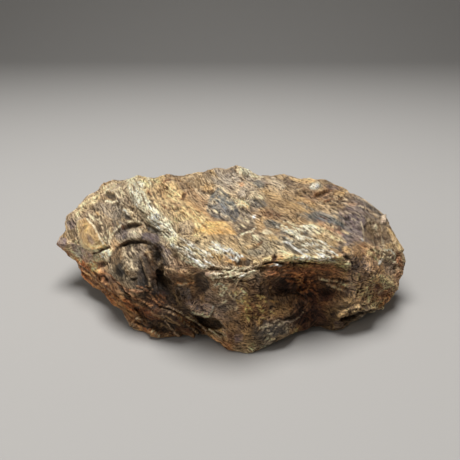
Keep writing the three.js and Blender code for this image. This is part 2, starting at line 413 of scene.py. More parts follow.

# Places painted darker, lighter, warmer or cooler than the rest, partly painted shade and painted light
# and partly the stone's own tone and colour casts: factor, radius, path.
PAINTED_LIGHT_SHADE_AND_TONE = [
    # The left block.
    (WARM, 8, [62,252, 76,266, 88,275]),
    (MILD, 6, [114,246, 118,260]),
    (0.88, 10, [86,232, 94,242]),
    (1.25, 7, [84,258, 92,262]),
    (1.2, 8, [122,196, 130,206]),
    (1.15, 8, [76,212, 82,224]),
    (1.3, 8, [64,246, 78,250]),
    (1.7, 11, [84,252, 104,256]),
    (1.2, 7, [60,242, 66,246]),
    # The knot and the rib.
    (HOT, 8, [154,256, 160,276, 160,300]),
    (WARM, 9, [144,282, 150,296]),
    (MILD, 6, [140,250, 128,250]),
    (0.72, 6, [146,236, 156,238]),
    (0.28, 7, [147,260, 151,275, 156,288]),
    (0.45, 6, [155,250, 161,268, 166,290]),
    (0.4, 8, [138,272, 141,284]),
    (0.4, 11, [118,282, 132,290, 146,292]),
    (0.48, 11, [130,250, 126,264]),
    # The underside of the left end.
    (HOT, 10, [134,304, 160,312, 184,326]),
    (HOT, 7, [190,334, 212,344, 226,350]),
    ((1.35, 1.05, 0.68), 13, [84,270, 104,284, 128,302, 150,322]),
    (0.6, 5, [176,269, 186,273]),
    (0.32, 13, [152,292, 164,302, 176,314, 186,326]),
    (0.65, 7, [117,264, 120,277]),
    (1.5, 10, [208,318, 220,336]),
    (1.3, 9, [84,272, 100,286, 116,300]),
    (0.7, 6, [104,266, 110,278]),
    (0.4, 10, [142,314, 168,322]),
    (0.5, 9, [152,302, 166,312, 170,320]),
    (0.65, 7, [116,284, 124,292]),
    (0.6, 10, [186,332, 200,336]),
    (1.12, 10, [174,284, 188,288]),
    # The top.
    ((1.02, 1.0, 0.88), 13, [184,246, 250,250, 328,252]),
    (MILD, 12, [166,186, 186,200, 204,214]),
    ((0.9, 1.0, 1.05), 6, [340,226, 346,234]),
    (COOL, 6, [226,228, 236,234]),
    (COOL, 10, [220,214, 244,222]),
    (COOL, 10, [126,232, 140,228]),
    (COOL, 10, [270,180, 320,190]),
    (COOL, 9, [322,212, 330,232]),
    (1.3, 6, [148,222, 154,226]),
    (1.2, 5, [309,185, 317,186]),
    (1.15, 7, [280,232, 290,240]),
    (1.3, 6, [152,208, 158,224]),
    (1.45, 12, [214,200, 232,208, 250,212]),
    (1.25, 12, [222,178, 246,180]),
    (1.15, 10, [306,212, 330,220]),
    (0.85, 14, [214,244, 250,240, 290,236]),
    (0.64, 10, [300,242, 332,250]),
    (1.05, 9, [372,230, 384,236]),
    (0.85, 12, [170,190, 176,202]),
    (0.8, 9, [184,248, 200,256]),
    # The front.
    (HOT, 6, [230,258, 240,261]),
    (MILD, 6, [288,260, 322,261]),
    (MILD, 9, [276,322, 300,330, 326,322]),
    (MILD, 9, [312,286, 320,300]),
    (ROSY, 30, [180,290, 240,304, 300,300]),
    (COOL, 12, [190,304, 214,318, 236,300]),
    (COOL, 7, [164,252, 182,270]),
    (0.75, 6, [286,270, 330,268]),
    (0.75, 6, [214,260, 226,256]),
    (0.65, 5, [230,260, 238,260]),
    (1.35, 6, [186,262, 198,269]),
    (1.45, 6, [320,259, 334,261]),
    (1.1, 6, [200,300, 204,308]),
    (0.85, 10, [224,300, 228,308]),
    (0.85, 9, [304,308, 316,316]),
    (1.2, 8, [222,318, 226,330]),
    (0.75, 10, [210,275, 236,273]),
    (0.45, 7, [262,274, 286,275]),
    (0.43, 14, [290,286, 318,288]),
    (0.65, 10, [276,310, 286,320]),
    (0.5, 13, [300,312, 322,318]),
    (0.55, 11, [262,330, 282,330]),
    (0.7, 8, [322,332, 336,322]),
    (1.25, 10, [236,345, 258,348]),
    (0.75, 34, [190,300, 250,312, 320,300]),
    # The right lobe.
    (MILD, 8, [364,300, 376,290]),
    (COOL, 12, [344,250, 362,262, 352,290]),
    (ROSY, 26, [352,264, 384,276]),
    ((0.9, 1.0, 0.93), 7, [348,246, 360,251]),
    (0.85, 6, [372,240, 386,240]),
    (0.85, 8, [360,246, 362,258]),
    (0.88, 10, [350,246, 364,244]),
    (1.7, 7, [374,251, 381,256]),
    (0.72, 8, [360,260, 370,268]),
    (0.88, 9, [388,258, 390,284]),
    (0.84, 9, [352,262, 366,284]),
    (1.3, 8, [350,268, 348,288]),
    (0.38, 7, [346,310, 364,307]),
]

# Plates, facets, bosses and hollows: colour, share, height, pixels over which it rises, how calm
# it is inside, outline.
PATCHES = {
    # Grounds that calm the fibres, under everything else.
    "ochre ground": ("ochre", 0.3, 0, 3, 0.35,
        [160,190, 175,194, 200,206, 232,224, 238,234, 214,237, 196,230, 176,216, 164,204]),
    "brown ground": ("brown", 0.2, 0, 4, 0.25, [258,192, 300,190, 318,204, 316,214, 280,214, 262,208]),
    "underside ground": ("brown", 0.2, 0, 3, 0.2,
        [84,274, 104,284, 124,296, 144,308, 172,314, 196,330, 214,350, 190,342, 150,340, 126,316,
         100,298]),
    # The left block.
    "rim of the shoulder": ("sand", 0.6, 0.4, 2, 0.1,
        [74,213, 82,203, 96,194, 106,184, 118,181, 106,192, 96,202, 84,213, 76,219]),
    "pink facet": ("pink", 0.55, 0.3, 1.5, 0.4, [105,185, 112,182, 120,185, 118,191, 107,192]),
    "notch by the knot hole": ("maroon", 0.7, -0.9, 1.5, 0.1, [99,193, 104,192, 106,197, 101,198]),
    "knot hole": ("ink", 0.85, -1.8, 1.5, 0.8,
        [104.5,194, 109,192, 114,193.5, 116,197.5, 113.5,200.5, 108,199]),
    "shoulder pit": ("brown", 0.7, -1.2, 1.5, 0.2, [81,205, 84,205, 88,209, 85,210]),
    "speckled scar": ("grey", 0.6, -0.3, 2, 0.0, [99,202, 116,203, 122,209, 117,220, 108,218, 101,210]),
    "slab": ("ochre", 0.9, 1.9, 0.7, 0.7,
        [77.5,221, 87,218, 93,225, 98,232, 104,241, 107,245, 101,249.5, 92,250, 84,247, 80,239, 78,231]),
    "slab heart": ("gold", 0.6, 0, 2, 0.5, [83,222, 88,223, 95,236, 90,238, 84,232]),
    "slab stain": ("plum", 0.6, -0.3, 1.5, 0.5, [87,233, 91,236, 95,243, 92,246, 88,240]),
    "fibres by the slab": ("olive", 0.75, -0.9, 1.5, 0.1,
        [91,213, 100,214, 108,226, 110,242, 106,246, 98,233]),
    "amber spot": ("amber", 0.4, 0, 1.5, 0.1, [94,210, 99,211, 100,217, 95,216]),
    "plum shoulder": ("plum", 0.8, -0.6, 2, 0.1, [65,221, 73,219, 77,224, 74,229, 68,230]),
    "olive notch": ("olive", 0.8, -1.0, 2, 0.1, [66,230, 75,229, 77,237, 72,240, 67,238]),
    "tip": ("plum", 0.9, 0.4, 2, 0.2, [57,242, 61,237, 67,238, 67,245, 63,249, 59,247]),
    "slot under the tip": ("maroon", 0.85, -1.6, 1.5, 0.2, [61,251, 67,251, 65,256, 62,255]),
    "first nodule of the edge": ("cream", 0.7, 0.8, 2, 0.3, [69,256, 73,256, 74,260, 70,260]),
    "plum band": ("plum", 0.75, -0.5, 2, 0.1, [68,241, 80,246, 92,254, 94,262, 86,264, 76,255]),
    "hook": ("ink", 1.0, -1.8, 1.0, 0.8, [122.5,213, 126,214, 132,217, 130,220, 126,219, 123,217]),
    "steep fibres": ("olive", 0.7, -0.5, 2, 0.0, [122,203, 134,204, 146,214, 150,222, 140,221, 130,212]),
    "mauve ground": ("plum", 0.5, 0, 2, 0.0, [112,229, 122,226, 128,232, 126,239, 116,240]),
    "pit above the arc": ("maroon", 0.8, -0.9, 1, 0.2, [111.5,223, 114.5,223, 114.5,227, 112,227]),
    "upper arc": ("soot", 0.9, -1.6, 1.5, 0.3,
        [121,226, 126,224.5, 132,223, 139,223, 138.5,226, 131,227.5, 125,229.5, 122,229]),
    "start of the upper arc": ("rust", 0.7, -0.8, 1.2, 0.1, [120,225, 124,225, 126,229, 122,231]),
    "post in the arc": ("rust", 0.8, -0.5, 1, 0.2, [141,223, 143.5,223, 143.5,227.5, 141,227]),
    "cap": ("bone", 0.55, 0.8, 2, 0.2, [128,230, 134,228, 142,228.5, 143,236, 138,240, 130,240, 127,236]),
    "plum scar on the cap": ("plum", 0.9, -0.3, 2, 0.5,
        [141,233, 148,232, 158,235, 160,240, 156,244, 150,242, 142,239]),
    "blue edge of the cap": ("slate", 0.85, -0.8, 1.2, 0.2,
        [148,226, 154,228, 162,233.5, 161,236, 154,233, 148,229]),
    "grey foot of the cap": ("slate", 0.5, 0, 1.5, 0.2, [146,241, 154,241, 154,247, 148,247]),
    "lower arc": ("soot", 0.85, -1.8, 1.2, 0.3,
        [119,244, 124,242, 130,240.5, 138,240, 146,241, 146,243.5, 138,243, 130,244, 123,247]),
    "start of the lower arc": ("rust", 0.7, -0.6, 1.2, 0.1, [118,244, 126,241, 127,243.5, 119,247]),
    "shade in the knot": ("ink", 0.8, -0.6, 1.5, 0.2, [126,245, 131,244.5, 132,248, 127,249]),
    "green scar": ("slate", 0.6, 0, 1.5, 0.3, [122.5,250, 128,249, 129,254, 124,255]),
    "face of the knot": ("grey", 0.8, 0.6, 3, 0.0,
        [130,246, 142,244, 147,250, 144,256, 138,264, 128,266, 121,262, 124,256]),
    "cream in the knot": ("sand", 0.35, 0, 2, 0.0, [122,256, 132,254, 138,258, 134,266, 124,264]),
    "olive lip": ("olive", 0.9, -0.5, 1.5, 0.2, [111,252, 116,249, 120,250, 119,262, 112,265, 109,262]),
    "sandy lip": ("sand", 0.6, 0.3, 1.5, 0.1, [100,252, 110,248, 113,251, 108,258, 101,260]),
    "plum knot": ("ink", 0.85, -0.5, 1.5, 0.5, [115,264, 121,262, 126,266, 125,274, 120,278, 116,274]),
    "warm knot": ("rust", 0.35, 0, 2, 0.0, [126,268, 134,266, 137,272, 132,277, 127,275]),
    "knot slot": ("soot", 1.0, -2.2, 1, 0.5, [128,281, 131,278, 137,277, 136,279, 132,281]),
    "dark flat": ("ink", 0.95, -0.9, 1.5, 0.5,
        [136,281, 137,272, 142,266, 147,271, 149,283, 144,288, 137,286]),
    "knot lip": ("brown", 0.75, 0.8, 1.5, 0.1,
        [119,281, 127,282, 134,288, 144,292, 144,300, 133,298, 125,291]),
    "gap": ("maroon", 0.95, -3.0, 1.5, 0.3, [101,275, 105,274, 110,281, 108,284.5, 104,281]),
    "gap above": ("maroon", 0.8, -1.4, 1.5, 0.2, [98,263, 104,260, 105,267, 101,267]),
    "arc by the gap": ("pink", 0.6, 0.6, 1.2, 0.1, [96,270, 101,268, 104,270, 101,273, 98,276]),
    "edge nodules": ("cream", 0.75, 0.9, 1.5, 0.1, [90,268, 96,267, 97,271, 92,272]),
    "rib": ("umber", 0.9, 1.8, 2, 0.5,
        [139,256, 146,255, 150,264, 154,275, 160,290, 162,297, 153,296, 148,284, 144,270]),
    "top of the rib": ("sand", 0.8, 0.6, 1, 0.3, [145,251, 152,250.5, 152,253.5, 146,254]),
    "second rib": ("brown", 0.9, 0.6, 1.5, 0.4, [149,253, 153,253, 154,265, 152,268, 149,262]),
    # The crevices are painted near black: painted shade in them, over their sunk relief.
    "crevice": ("soot", 0.95, -2.5, 2, 0.3, [153,250, 158,251, 163,258, 161,263, 156,261]),
    "crevice below": ("soot", 0.85, -1.8, 2, 0.2, [154,262, 162,264, 167,276, 166,292, 158,288]),
    "plum spot by the crevice": ("plum", 0.8, -0.3, 1.5, 0.3, [164,249, 170,248, 173,253, 168,256]),
    "dark line above the rib": ("soot", 0.9, -1.2, 1, 0.2, [147,249, 152,247, 158,248, 157,251, 150,250]),
    # The lower left.
    "strip under the edge": ("brown", 0.6, 0, 2, 0.3, [74,264, 90,274, 106,286, 112,296, 98,291, 80,277]),
    "slot under the block": ("soot", 0.9, -2.4, 1.5, 0.3,
        [118,287, 124,289, 131,296, 140,301, 150,305, 147,307, 136,304, 126,299]),
    "brown plate": ("rust", 0.5, 0.4, 2, 0.4,
        [112,292, 122,299, 136,305, 146,309, 142,312, 128,306, 116,300]),
    "olive strip": ("olive", 0.8, 0.3, 2, 0.4, [114,299, 124,304, 132,312, 134,318, 126,314, 117,304]),
    "rust plate": ("rust", 0.6, 0.6, 2, 0.5, [144,311, 152,309, 163,312, 162,320, 152,321, 145,317]),
    # Painted shade in this hollow, near black.
    "maroon hollow": ("soot", 0.8, -1.8, 2, 0.4, [146,321, 154,320, 164,322, 168,332, 158,333, 150,329]),
    "rusty tongue": ("rust", 0.8, -0.4, 1.5, 0.5,
        [174,315, 184,323, 192,332, 191,337, 182,338.5, 176,330]),
    "dark of the tongue": ("soot", 0.7, -0.8, 1.5, 0.3, [160,312, 168,316, 176,330, 172,334, 165,326]),
    "chip": ("grey", 0.7, 1.2, 0.8, 0.0,
        [190,303, 196,302.5, 208,303, 214,307, 210,316, 200,315, 190,311]),
    # Painted shade in the hollow under the chip, near black.
    "hollow under the chip": ("soot", 0.95, -3.5, 1.5, 0.4,
        [192,314, 200,316, 210,318, 219,320, 224,327, 216,330, 208,328, 199,323]),
    "tan under the hollow": ("tan", 0.6, 1.6, 4, 0.1, [204,331, 214,332, 222,336, 220,346, 211,344]),
    # The left front.
    # Painted shade under the overhanging left rim.
    "painted shade under the rim": ("umber", 0.7, -1.0, 3, 0.1,
        [160,272, 172,276, 188,280, 196,286, 200,300, 180,303, 166,300]),
    "olive rim": ("olive", 0.8, 0.6, 1.5, 0.3,
        [156,266, 166,267, 178,269, 192,272, 196,276, 186,279, 170,275, 158,271]),
    "rust on the rim": ("rust", 0.7, 0.3, 1.5, 0.3, [177,270, 186,270, 192,274, 188,278, 180,276]),
    # Painted shade in the corner beside the block.
    "painted shade in the corner": ("soot", 0.75, -1.4, 2, 0.3, [194,275, 202,271, 207,276, 209,288, 204,294, 196,294]),
    "grey fibres": ("slate", 0.7, 0, 2, 0.0, [174,287, 190,288, 192,299, 176,300]),
    "grey scar": ("grey", 0.7, 0.3, 1.5, 0.0, [205,291, 211,289, 214,298, 208,302, 204,299]),
    # The cream ridge.
    "cream ridge": ("cream", 0.55, 0.6, 2, 0.0,
        [131,184, 140,181, 147,184, 139,190, 139,199, 150,203, 158,209, 168,222, 177,235, 170,237,
         160,230, 150,222, 143,213, 134,205, 130,193]),
    "slate at the head of the ridge": ("slate", 0.7, -0.6, 1.2, 0.0,
        [132,186, 137,185, 137,191, 133,191]),
    "slot in the ridge": ("slate", 0.5, -0.6, 1, 0.1,
        [153,221, 156,220.5, 160,225, 166,230, 164,232.5, 157,227]),
    "olive flank": ("olive", 0.6, -0.6, 2, 0.2, [158,208, 165,213, 174,226, 180,235, 176,233, 168,221]),
    # The nodules.
    "first nodule": ("sand", 0.9, 1.4, 3, 0.3, [168,184, 173,180, 178,184, 178,189, 170,190]),
    "second nodule": ("sand", 0.9, 1.6, 3, 0.3, [173,192, 179,188, 184,192, 183,198, 177,199, 173,197]),
    "third nodule": ("pink", 0.45, 0.8, 3, 0.2, [172,204, 178,201, 183,204, 180,209, 174,209]),
    "crack by the nodules": ("rust", 0.85, -1.4, 1.5, 0.1, [146,189, 150,191, 153,195, 151,197, 147,194]),
    "shade of the nodules": ("rust", 0.85, -1.2, 1.2, 0.1, [183,193, 187,191, 187,197, 184,200, 180,200]),
    "ochre lens": ("ochre", 0.85, 0.6, 1.5, 0.2, [199,186, 205,183, 214,186, 213,190, 204,191]),
    "olive flat": ("olive", 0.6, 0, 2, 0.3, [186,179, 198,178, 202,184, 196,190, 188,187]),
    # The golden band and the grey scars.
    "golden band": ("amber", 0.8, 0.6, 1.5, 0.45,
        [199,227, 206,221, 214,221, 224,221, 232,227, 238,236, 230,234, 218,234, 206,234, 200,231]),
    "bright edge of the band": ("amber", 0.5, 0, 1, 0.3,
        [208,223, 216,221, 226,222, 231,227, 224,227, 214,226]),
    "pale streak": ("sand", 0.85, 0.4, 1.5, 0.3, [182,206, 190,206, 198,213, 206,220, 201,221, 192,217]),
    "grey speckles": ("grey", 0.7, -0.4, 2, 0.0, [178,222, 190,220, 196,226, 190,236, 180,234]),
    "tan under the band": ("tan", 0.7, 0, 2, 0.1, [212,236, 228,236, 240,240, 238,246, 222,243]),
    "brown beside the scar": ("brown", 0.5, -0.2, 2, 0.0, [192,196, 206,194, 208,204, 204,212, 196,208]),
    "first grey scar": ("slate", 0.95, -0.5, 1.5, 0.0,
        [207,204, 211,193, 219,187, 228,194, 236,204, 240,212, 236,222, 222,220, 212,217, 206,211]),
    "second grey scar": ("ink", 0.6, -0.6, 1.5, 0.1,
        [230,212, 236,207, 246,210, 252,218, 256,226, 250,231, 240,229, 231,222]),
    "golden lens": ("gold", 0.8, 0.5, 1.2, 0.3, [238,200, 243,200, 249,206, 248,209, 242,206]),
    "first boss": ("grey", 0.8, 1.4, 2.5, 0.1, [237,194, 240,189, 246,189, 249,194, 246,199, 239,199]),
    "second boss": ("bone", 0.6, 1.6, 3, 0.1, [249,191, 256,190, 264,193, 266,200, 258,202, 251,198]),
    "slate below the bosses": ("slate", 0.8, -0.6, 2, 0.0, [250,198, 264,200, 268,206, 256,209, 250,205]),
    "back boss": ("slate", 0.8, 1.0, 2.5, 0.1, [252,183, 258,179, 265,183, 264,189, 257,188]),
    "grey crest": ("grey", 0.7, 0.4, 3, 0.0, [223,174, 236,171, 240,178, 234,186, 224,183]),
    "crest": ("bone", 0.7, 0.8, 3, 0.1, [236,168, 244,165, 254,170, 264,177, 260,180, 250,176, 240,175]),
    "orange spot": ("fox", 0.6, 0.2, 1.5, 0.1, [239,183, 243,182, 244,186, 240,187]),
    "white point": ("white", 1.0, 0.5, 0.8, 0.2, [252,216, 255,215.5, 255.5,218, 253,218.5]),
    "amber by the scar": ("amber", 0.4, 0, 1.5, 0.1, [255,220, 262,219, 266,228, 262,234, 257,229]),
    # The right of the top.
    "pale back": ("bone", 0.7, 0.5, 2, 0.0, [266,179, 275,180, 286,186, 283,190, 272,186]),
    "golden rim": ("amber", 0.5, 0.4, 2, 0.1, [288,177, 304,177, 316,180, 312,184, 296,183]),
    "white boss": ("cream", 0.95, 2.2, 2.5, 0.1,
        [309,187, 312,183, 319,182.5, 321.5,186, 317,189, 311,190]),
    "plum lens": ("brown", 0.8, -1.0, 2, 0.2, [300,191, 306,188, 312,190, 315,195, 308,197]),
    "rust crease": ("rust", 0.6, -1.5, 2, 0.1,
        [311,196, 316,193, 322,191.5, 330,188.5, 333,191, 327,194.5, 321,197.5, 314,198.5]),
    "plum top": ("plum", 0.7, 0.4, 2, 0.1, [324,184, 334,185, 341,189, 330,190]),
    "ochre top": ("ochre", 0.85, 0.4, 1.5, 0.2, [333,193, 340,190, 346,191, 344,196, 335,196]),
    "rust scar": ("rust", 0.5, -0.4, 2, 0.0, [258,210, 272,210, 282,214, 280,220, 266,219]),
    "slate speckles": ("slate", 0.8, -0.5, 2, 0.0, [262,221, 272,220, 282,224, 278,229, 266,228]),
    "slate ledge": ("slate", 0.85, -0.6, 1.5, 0.0,
        [310,213, 320,211, 334,217, 344,224, 346,230, 338,226, 326,221, 316,219, 308,217]),
    "blue ledge": ("ink", 0.6, -0.5, 1.5, 0.2, [309,217, 315,217, 320,222, 314,223]),
    "rusty band": ("fox", 0.5, 0.5, 1.5, 0.2,
        [317,219, 325,222, 338,227, 346,234, 342,236, 330,230, 319,224]),
    "orange streak": ("fox", 0.4, 0.3, 2, 0.1, [344,203, 352,202, 359,204, 352,207]),
    "olive pit": ("soot", 0.8, -1.8, 2, 0.1, [344,217, 349,216, 352,219, 349,221, 345,220.5]),
    "dark rim": ("ink", 0.7, -0.8, 2, 0.0, [364,201, 376,207, 386,213, 380,215, 368,208]),
    "pink chip": ("pink", 1.0, 1.4, 1, 0.6, [380,222, 381,216, 386,213.5, 386.5,219, 385,224, 381,224]),
    "plum facet": ("plum", 0.6, 0.3, 1.5, 0.1,
        [338,210, 350,205, 363,208, 366,222, 364,238, 356,243, 345,246, 341,236, 344,226, 338,218]),
    "recess": ("umber", 0.45, -1.1, 1.6, 0.6,
        [363,226, 369,221, 378,222, 386,228, 391,238, 385,244, 376,247, 368,245, 362,238]),
    "floor of the recess": ("umber", 0.7, -0.6, 1.5, 0.2, [372,237, 382,235, 391,238, 389,244, 376,245]),
    "golden right rim": ("ochre", 0.9, 1.2, 1.5, 0.3,
        [386,226, 390,229, 395,236, 402,245, 404,252, 399,251, 394,244, 390,235]),
    # The front margin of the top.
    "white fibres": ("white", 0.75, 0.6, 1.5, 0.0,
        [209,246, 218,244, 230,249, 239,253, 236,256, 224,255, 213,251]),
    "cream foot": ("cream", 0.65, 0.5, 1.5, 0.0,
        [176,252, 190,246, 202,249, 212,264, 204,270, 192,266, 180,259]),
    "golden step": ("ochre", 0.9, -0.8, 1, 0.2, [207,253, 222,256, 236,256, 237,262, 222,262, 209,259]),
    "lit block": ("sand", 0.8, 0.8, 0.8, 0.3, [224,259, 233,258.5, 233,263, 225,263]),
    "notch": ("soot", 1.0, -3.0, 1, 0.2, [236,259, 242,259.5, 250,260, 250,264, 237,264]),
    "second lit block": ("sand", 0.8, 0.8, 0.8, 0.3, [252,259, 260,258.5, 261,262.5, 253,263]),
    "third lit block": ("sand", 0.7, 0.8, 0.8, 0.2, [262,257, 272,256, 272,261, 263,261.5]),
    "first facet": ("cream", 0.8, 0.8, 1, 0.3, [262,230, 268,229, 274,233, 268,235, 263,234]),
    "second facet": ("gold", 0.6, 0.9, 1, 0.3, [264,235, 272,234, 279,236, 279,242, 270,241]),
    "brown facet": ("brown", 0.7, 0.6, 1, 0.3, [243,234, 250,232, 253,238, 250,242, 244,240]),
    "white facet": ("cream", 0.8, 0.6, 1, 0.3, [252,234, 258,235, 259,240, 254,240]),
    "golden hollow": ("gold", 0.6, -0.3, 1.5, 0.1, [244,246, 256,243, 262,245, 258,249, 246,250]),
    "slate by the step": ("slate", 0.6, -0.3, 1.5, 0.0, [247,250, 256,249, 262,253, 256,257, 248,255]),
    "front cleft": ("maroon", 0.95, -2.2, 1.2, 0.2, [272,255, 276,254, 278,257, 275,262, 272,260]),
    "blue scar": ("ink", 0.9, -0.8, 1, 0.4,
        [281,236, 288,239, 298,247, 306,251, 304,255, 295,254.5, 285,248]),
    "second blue scar": ("slate", 0.9, -0.6, 1, 0.3, [301,228, 308,227.5, 315,232, 310,236, 302,234]),
    "pale ground": ("cream", 0.6, 0, 1.5, 0.0, [303,224, 314,224, 324,229, 320,235, 308,236]),
    "cream margin": ("cream", 0.5, 0.5, 1.5, 0.0,
        [280,247, 288,252, 300,256, 312,250, 326,252, 337,258, 322,262, 300,260, 284,261]),
    "gold margin": ("gold", 0.6, 0.4, 1.5, 0.2, [326,241, 337,240, 339,249, 332,251, 327,248]),
    "slate spot": ("slate", 0.8, -0.8, 1, 0.2, [339,246, 343,245, 343,251, 339,251]),
    # The front.
    "white lip": ("pink", 0.95, 1.0, 1, 0.3, [204,273, 209,271.5, 218,274, 223,278, 214,278.5, 206,277]),
    "grey ledges": ("bone", 0.6, 0.6, 1, 0.0, [208,270, 236,269, 256,268, 254,275, 238,280, 222,281]),
    "glints by the lip": ("cream", 0.7, 0.3, 1, 0.0, [213,284, 219,281, 221,284, 215,288]),
    # Hollows under the front rim: partly their own darker wood, partly painted shade.
    "front hollow": ("soot", 0.35, -2.6, 6, 0.0,
        [266,290, 270,281, 280,276, 290,280, 290,292, 280,298, 268,296]),
    "red hollow": ("maroon", 0.5, -1.6, 6, 0.0, [290,276, 310,276, 317,290, 314,300, 300,300, 290,292]),
    "plum hollow": ("ink", 0.4, -1.4, 4, 0.0, [319,282, 334,279, 342,286, 336,295, 322,295]),
    "pit under the rim": ("soot", 0.8, -1.2, 1.5, 0.2, [324,271, 330,270, 332,275, 326,276]),
    "gold on the front": ("gold", 0.6, 0.4, 3, 0.0,
        [273,309, 280,305, 290,303, 294,308, 286,315, 276,317]),
    "warm brown": ("rust", 0.5, 0, 3, 0.0, [240,300, 256,304, 270,306, 268,316, 250,318, 240,310]),
    "dark arcs": ("ink", 0.6, -0.6, 2, 0.0, [284,317, 294,313, 303,305, 305,310, 296,319, 286,321]),
    "red foot of the hollow": ("maroon", 0.85, -0.4, 3, 0.1,
        [298,318, 312,308, 324,312, 330,324, 318,330, 304,330]),
    "grey below": ("slate", 0.65, 0.4, 2, 0.5, [262,324, 276,320, 288,322, 290,332, 274,338, 262,334]),
    "orange below": ("amber", 0.6, 0.3, 2, 0.1, [256,322, 263,320, 264,328, 258,330]),
    "gold flecks": ("gold", 0.6, 0, 2, 0.0, [289,329, 298,328, 299,336, 290,337]),
    "rusty foot": ("maroon", 0.8, -0.6, 2, 0.1, [226,331, 240,330, 244,336, 238,346, 228,344]),
    "grey square": ("plum", 0.8, 0.5, 1, 0.3, [234,334.5, 243,334, 243,342, 235,343]),
    # The right lobe.
    "golden knob": ("ochre", 0.9, 1.0, 1.5, 0.2, [341,247, 347,246, 351,249, 350,253, 344,253]),
    "lobe pit": ("soot", 0.95, -2.0, 1.5, 0.3, [343,254, 349,253.5, 350,259, 345,260.5]),
    "ochre corner": ("ochre", 0.6, 0.3, 2, 0.1, [336,252, 342,252, 343,266, 338,268, 335,260]),
    "rusty fibres": ("rust", 0.7, 0, 2, 0.0, [352,246, 364,243, 368,250, 364,257, 354,257]),
    "plume": ("tan", 0.9, 0.6, 1.5, 0.2, [368,246, 378,246, 388,252, 384,258, 378,261, 371,254]),
    "white chip": ("white", 1.0, 0.8, 0.8, 0.6, [378,264, 380,260, 384,258, 382.5,261.5, 379.5,265]),
    "slate on the lobe": ("slate", 0.6, -1.0, 2, 0.0, [350,260, 357,258, 359,272, 352,275]),
    "olive fibres": ("tan", 0.65, 0.5, 2, 0.0, [352,281, 370,280, 374,292, 370,304, 354,303]),
    "plum cleft": ("maroon", 0.9, -1.2, 1.5, 0.1, [375,282, 380,284, 386,292, 384,298, 376,296]),
    "grey flank": ("grey", 0.75, 0.3, 2, 0.0, [382,256, 392,254, 396,262, 394,274, 384,276]),
    "green flecks": ("bone", 0.4, 0.3, 2, 0.0, [378,274, 394,275, 394,288, 384,290]),
    "dark right edge": ("rust", 0.85, -0.6, 2, 0.0, [396,250, 402,254, 404,270, 398,278, 395,266]),
    "rusty lobe": ("rust", 0.6, 0, 2, 0.0, [376,298, 390,292, 392,302, 380,309, 374,306]),
    "left of the lobe": ("umber", 0.6, -0.3, 2, 0.0, [332,280, 346,280, 350,292, 350,306, 336,308]),
    "foot": ("plum", 0.7, 0.8, 3, 0.4, [333,321, 342,319, 345,324, 342,330, 335,329]),
    # Painted shade under the ledges of the lobe.
    "under the ledges": ("ink", 0.6, -0.6, 2, 0.1, [340,318, 352,315, 362,316, 358,325, 346,326]),
}

